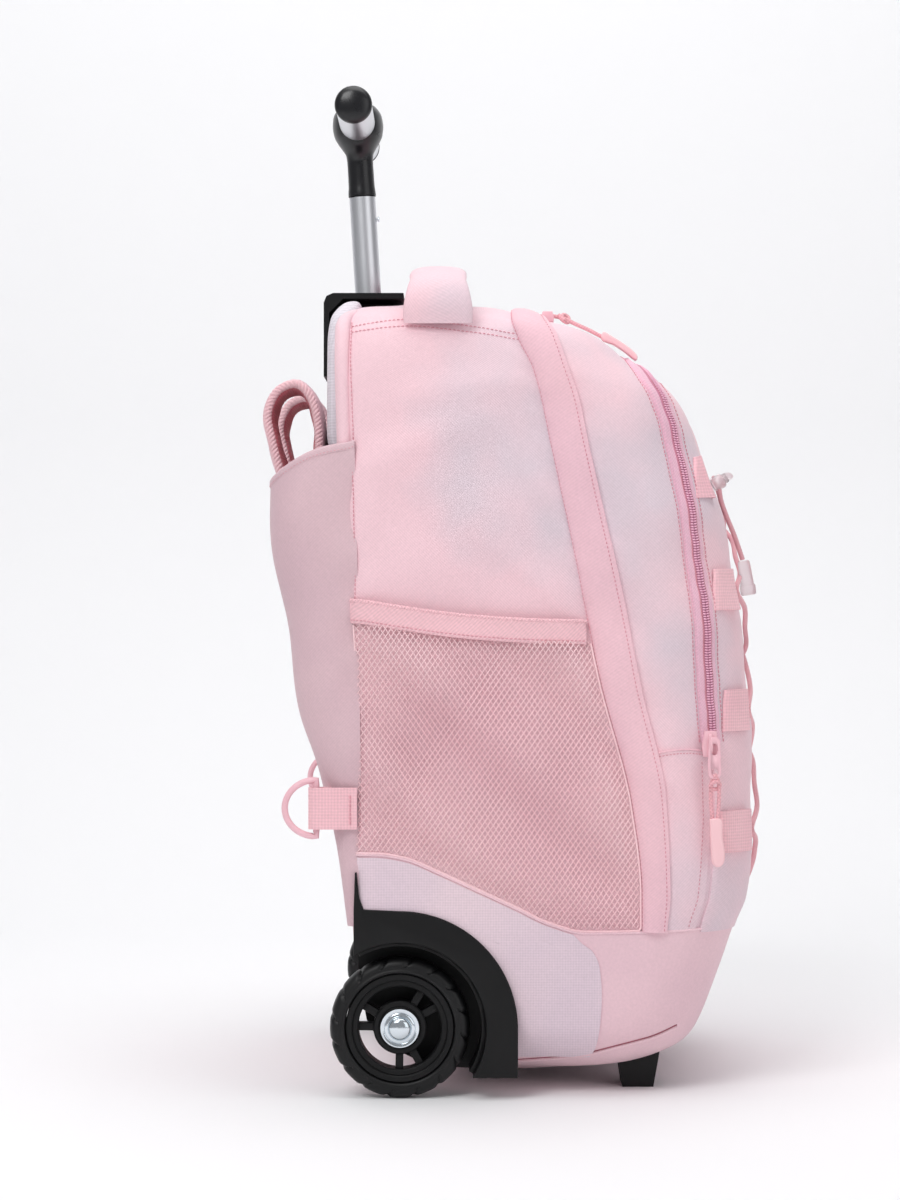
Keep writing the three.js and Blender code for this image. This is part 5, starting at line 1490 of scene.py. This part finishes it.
def make_wheel(side, sign):
    x, z = WHEEL["x"], WHEEL["z"]
    inner, outer = WHEEL["inner"], WHEEL["outer"]
    wide = outer - inner
    middle = sign * (inner + wide / 2)
    # Tyre: a rounded tread, with leaf-shaped lugs that run down the shoulders, and a raised ring by the rim
    steps = 240
    angle = np.arange(steps) / steps * TURN
    half = wide / 2
    section = [(32.9, -half + 2.2), (33.4, -half + 0.9), (34.6, -half + 0.4), (35.6, -half + 0.9),
               (36.4, -half + 0.9), (38.2, -half + 1.2), (39.8, -half + 2.0), (41.2, -half + 3.6),
               (42.0, -half + 6.0), (42.3, -half + 8.5), (42.3, 0), (42.3, half - 8.5), (42.0, half - 6.0),
               (41.2, half - 3.6), (39.8, half - 2.0), (38.2, half - 1.2), (36.4, half - 0.9),
               (35.6, half - 0.9), (34.6, half - 0.4), (33.4, half - 0.9), (32.9, half - 2.2)]
    fine = smooth_line(section, 0.7)
    lugs = 16
    rows = []
    for radius, d in fine:
        shoulder = np.clip((radius - 36.6) / 1.2, 0, 1)
        lean = (42.3 - radius) * 0.020
        phase = angle * lugs + lean * lugs * np.sign(d + 1e-6) + 0.25 * np.sin(angle * lugs)
        groove = np.exp(-((np.mod(phase, TURN) - math.pi) / 0.42) ** 2)
        edge = np.clip(1 - abs(abs(d) - half + 4) / 7, 0, 1)
        r = radius - groove * shoulder * (0.5 + 1.0 * edge)
        rows.append(np.stack([x + r * np.cos(angle), middle + d - np.sign(d) * groove * shoulder * 0.7,
                              z + r * np.sin(angle)], -1))
    rows = np.array(rows)
    faces = grid_faces(len(rows), steps, wrap=True)
    last = (len(rows) - 1) * steps
    faces += [(last + k, last + (k + 1) % steps, (k + 1) % steps, k) for k in range(steps)]
    sit(mesh_piece(f"tread_{side}", rows, faces, RUBBER), f"wheel_{side}", [f"tyre_{side}"])

    # Rim: stepped band, hub and three pairs of spokes
    def band(r_in, r_out, depth, round_edge=0.7):
        e = round_edge
        profile = [(r_in, -depth + e), (r_in + e, -depth), (r_out - e, -depth), (r_out, -depth + e),
                   (r_out, depth - e), (r_out - e, depth), (r_in + e, depth), (r_in, depth - e)]
        rings = turned_rings(profile, 96, (x, middle, z), (0, 1, 0))
        found = grid_faces(len(profile), 96, wrap=True)
        end = (len(profile) - 1) * 96
        found += [(end + k, end + (k + 1) % 96, (k + 1) % 96, k) for k in range(96)]
        return rings.reshape(-1, 3), found
    parts = [band(28.6, 32.7, half - 1.4), band(25.0, 29.0, half - 3.2), band(4.4, 12.6, half - 3.0),
             band(12.2, 16.0, half - 4.4)]
    for pair in (44, 164, 284):
        for turn in (-15, 15):
            a = math.radians(pair + turn)
            c, s = math.cos(a), math.sin(a)
            outline = [(u * c - v * s + x, u * s + v * c + z) for u,
                       v in ((14, -2.3), (27.0, -2.3), (27.0, 2.3), (14, 2.3))]
            parts.append(slab(outline, middle - 4.2, middle + 4.2, 1, 0.6))
    points, faces = gathered(parts)
    sit(mesh_piece(f"spoked_rim_{side}", points, faces, BLACK), f"wheel_{side}",
        [f"rim_{side}"])

    # Hub: a wide silver washer with a turned groove, and a domed chrome nut
    face = outer - 3
    profile = [(4.4, 0.3), (11.9, 0.3), (12.0, 0.9), (11.6, 1.5), (9.6, 1.6), (9.2, 1.2), (8.8, 1.6),
               (7.4, 1.7), (7.0, 1.2), (6.7, 1.5), (6.6, 3.2), (6.1, 4.2), (4.4, 5.1), (2.2, 5.6), (0, 5.7)]
    points, faces = swept(turned_rings(profile, 64, (x, sign * face, z), (0, sign, 0)))
    sit(mesh_piece(f"hub_nut_{side}", points, faces, CHROME, None, 50), "bag", [f"axle_cap_{side}"])

    # Housing: a moulded side plate with an arch over the tyre, a stepped lip and a wall behind
    back, foot, flange = -95, 13.5, 71
    start, end = math.acos((back - x) / 52), -0.56
    outline = [(x + 52 * math.cos(end), foot), (x + flange, foot), (x + flange, z)]
    outline += arc(x, z, flange, 0, math.pi / 2, 40)
    outline += [(back + 6, z + flange + 1), (back + 3.4, z + flange + 8), (back + 1.8, z + flange + 23.4),
                (back + 0.8, z + flange + 23)]
    outline += [(back, z + flange)] + arc(x, z, 52, start, end, 60)
    clean = [outline[0]]
    for p in outline[1:]:
        if math.dist(p, clean[-1]) > 0.2:
            clean.append(p)
    low, high = (-153.5, -150.3) if sign < 0 else (150.3, 153.5)
    parts = [slab(clean, low, high, 1, 0.8, 3)]

    def arch(radius, wall, far, near):
        ring_out = arc(x, z, radius + wall, end, start - 0.05, 60)
        ring_in = arc(x, z, radius, start - 0.05, end, 60)
        ends = (far, near) if sign > 0 else (-near, -far)
        return slab(ring_out + ring_in, ends[0], ends[1], 1, 0.5)
    parts.append(arch(52, 2.2, 118, 151.8))
    parts.append(arch(49.2, 3.0, 118, 145.5))
    disc = [(max(px, float(BACK(pz)) - 0.9), pz) for px, pz in arc(x, z, 52.8, 0, TURN, 90)[:-1] if pz > foot]
    parts.append(slab(disc, *((118, 120.2) if sign > 0 else (-120.2, -118)), 1))
    points, faces = gathered(parts)
    sit(mesh_piece(f"wheel_arch_{side}", points, faces, BLACK, None, 40), "bag",
        [f"wheel_housing_{side}"])
    rim_line = np.array([(px, sign * 153.3, pz) for px, pz in arc(x, z, flange - 0.9, 0, math.pi / 2, 60)])
    rib = stitched(f"arch_serration_{side}", rim_line, np.tile([0.0, sign, 0.0], (60, 1)), 1.7, 1.0, 0.4, 0.1)
    rib.data.materials.clear()
    rib.data.materials.append(BLACK)


WHEEL_PATCH = ((147, 30), (120, 24), (108, 30), (98, 38.0), (94, 42), (89, 48.5), (80, 52.5), (62, 54),
               (50, 53.5), (32, 51), (22, 46))
PATCH_EDGE = curve_through([-row[0] for row in WHEEL_PATCH], [row[1] for row in WHEEL_PATCH])
ARCH_MIDDLE = 62
BASE_FOOT = ((0, 19.5), (24, 21.6), (42, 24.6), (65, 31.0), (86, 36.0), (100, 41.0))


def make_base_trims():
    """On each side of the base: a coarser patch behind the wheel arch, and a low piped seam in front."""
    for side, sign in SIDES:
        rise = np.linspace(0, 1, 44)[:, None]
        run = np.linspace(0, 1, 50)[None]
        bottom = 24.0
        px = -4.0 + 0 * rise * run
        for _ in range(5):
            top = BASE_TOP(px) - 1.6
            pz = bottom + (top - bottom) * rise
            # Beside the wheel the patch starts under the arch's plate, above it at the back corner
            reach = np.sqrt(np.clip(ARCH_MIDDLE ** 2 - (pz - WHEEL["z"]) ** 2, 0, None))
            start = np.where(pz < 97, WHEEL["x"] + reach, -92.0)
            start = np.where(pz < WHEEL["z"], WHEEL["x"] + ARCH_MIDDLE, start)
            px = start + (np.maximum(PATCH_EDGE(-pz), start + 1) - start) * run
        sit(side_patch(f"wheel_patch_{side}", px, pz, sign, 1.5, OXFORD, under=0.2), "bag")
        seam = smooth_line([(x, z, 0) for x, z in BASE_FOOT], 2.0)
        line, _ = on_side(seam[:, 0], seam[:, 1], sign, 0.9)
        sit(tube(f"base_foot_piping_{side}", line, 1.0, BASE_TWILL, 8), "bag")
        line, _ = on_side(seam[:, 0], seam[:, 1] + 1.3, sign, 0.85)
        sit(tube(f"base_foot_seam_{side}", line, 0.4, SEAM_SHADOW, 6), "bag")


def make_side_panels():
    """Below the pocket's zip each gusset carries a second panel, stitched along its top and its seam."""
    for side, sign in SIDES:
        rise = np.linspace(0, 1, 40)[:, None]
        run = np.linspace(0, 1, 24)[None]
        px = 100 + 0 * rise * run
        for _ in range(4):
            top = 210.5 - 2.0 * ((px - 103) / 15) ** 2
            pz = 101 + (top - 101) * rise
            px = FLAP_FRONT(pz) - 2.5 + (POCKET(pz) - 3.0 - FLAP_FRONT(pz) + 2.5) * run
        sit(side_patch(f"gusset_panel_{side}", px, pz, sign, 1.1, TWILL, under=-0.5), "bag")
        fold_line, fold_normal = on_side(px[-1], pz[-1] - 0.2, sign, 1.15)
        sit(tube(f"gusset_fold_{side}", fold_line, 0.55, FLAP_TWILL, 6), "bag")
        line, normal = on_side(px[-1], pz[-1] - 2.4, sign, 1.15)
        stitched(f"gusset_stitch_{side}", line, normal, 2.2, 1.4, 0.26)
        heights = np.linspace(103, 204, 60)
        line, normal = on_side(POCKET(heights) - 7.5, heights, sign, 1.15)
        stitched(f"pocket_seam_stitch_{side}", line, normal, 2.6, 1.7, 0.24)
        heights = np.linspace(152, 470, 150)
        line, normal = on_side(BACK(heights) + 4.2, heights, sign, 0.15)
        stitched(f"back_seam_stitch_{side}", line, normal, 2.6, 1.7, 0.26)


def make_seam_stitches():
    """Topstitching near the top of the side panels."""
    for side, sign in SIDES:
        x = np.linspace(-97, 6, 60)
        for row, heights in (("upper", (465.5, 469.0, 466.0, 460.9)),
                             ("lower", (461.9, 464.6, 462.2, 457.6))):
            z = curve_through((-97, -62, -23, 6), heights)(x)
            line, normal = on_side(x, z, sign, 0.15)
            stitched(f"side_seam_{row}_{side}", line, normal, 2.6, 1.7, 0.26)


make_skin()
make_base()
make_pocket()
make_flap()
make_zip()
make_pipings()
for side, sign in SIDES:
    make_side_pocket(side, sign)
make_back_pad()
for side, sign in SIDES:
    make_back_edge(side, sign)
make_cover()
for side, sign in SIDES:
    make_strap(side, sign)
make_grab_handle()
for side, sign in SIDES:
    make_ring(side, sign)
make_loops()
make_lacing()
make_cord_lock()
make_pocket_pull()
make_main_pull()
make_trolley()
for side, sign in SIDES:
    make_wheel(side, sign)
make_seam_stitches()
make_base_trims()
make_side_panels()

# CAD nodes that keep their own shape
CARRIED = {"trolley_plate": BLACK, "outer_sleeve": ALUMINIUM, "detent_button": CHROME, "axle": ALUMINIUM,
           "foot_left": BLACK, "foot_right": BLACK}
for name, finish in CARRIED.items():
    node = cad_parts[name]
    node.data.materials.clear()
    node.data.materials.append(finish)


# Studio: floor that sweeps up into a wall, soft lights and the camera

def make_studio():
    profile = [(-2600, 0), (700, 0)] + [(700 + 500 * math.sin(a), 500 - 500 * math.cos(a))
                                         for a in np.linspace(0.1, math.pi / 2, 16)] + [(1200, 3200)]
    points, faces = [], []
    for y, z in profile:
        points += [(-3500, y, z), (3500, y, z)]
    for i in range(len(profile) - 1):
        faces.append((2 * i, 2 * i + 1, 2 * i + 3, 2 * i + 2))
    finish, tree, shader = new_finish("studio_paper", 0.9)
    shader.inputs["Base Color"].default_value = linear("#F3F3F4")
    # Seen from behind the wall lets the view through, so that the part can be looked at from every side
    side_seen = add(tree, "ShaderNodeNewGeometry")
    see_through = add(tree, "ShaderNodeBsdfTransparent")
    mixed = add(tree, "ShaderNodeMixShader", {}, {}, {0: side_seen.outputs["Backfacing"],
                1: shader.outputs["BSDF"], 2: see_through.outputs["BSDF"]})
    tree.links.new(mixed.outputs["Shader"], tree.nodes["Material Output"].inputs["Surface"])
    sweep = mesh_piece("studio_sweep", points, faces, finish, None, 180)
    for name, at, size, energy, aim in (
        ("key", (-900, -1700, 1900), 1100, 25, (0, 0, 250)),
        ("fill", (1500, -1500, 900), 1500, 6.5, (0, 0, 250)),
        ("top", (100, -200, 2300), 1500, 15, (0, 0, 200)),
        ("back_wash", (0, 300, 2100), 2200, 10.5, (0, 1200, 700)),
    ):
        lamp = bpy.data.lights.new(name, "AREA")
        lamp.size = size * MM
        lamp.energy = energy
        holder = bpy.data.objects.new(name, lamp)
        holder.location = Vector(at) * MM
        holder.rotation_euler = (Vector(aim) - Vector(at)).to_track_quat("-Z", "Y").to_euler()
        bpy.context.scene.collection.objects.link(holder)
    world = bpy.data.worlds.new("studio_air")
    world.use_nodes = True
    world.node_tree.nodes["Background"].inputs["Color"].default_value = linear("#F6F7FA")
    world.node_tree.nodes["Background"].inputs["Strength"].default_value = 0.345
    bpy.context.scene.world = world
    bpy.context.scene.view_settings.view_transform = "Standard"
    camera = bpy.data.cameras.new("camera")
    camera.lens = LENS_MM
    camera.sensor_width = SENSOR_MM
    camera.shift_x = FRAME_SHIFT
    camera.clip_end = 20
    holder = bpy.data.objects.new("camera", camera)
    holder.location = Vector(CAMERA_AT) * MM
    holder.rotation_euler = (math.pi / 2, 0, 0)
    bpy.context.scene.collection.objects.link(holder)
    bpy.context.scene.camera = holder


make_studio()
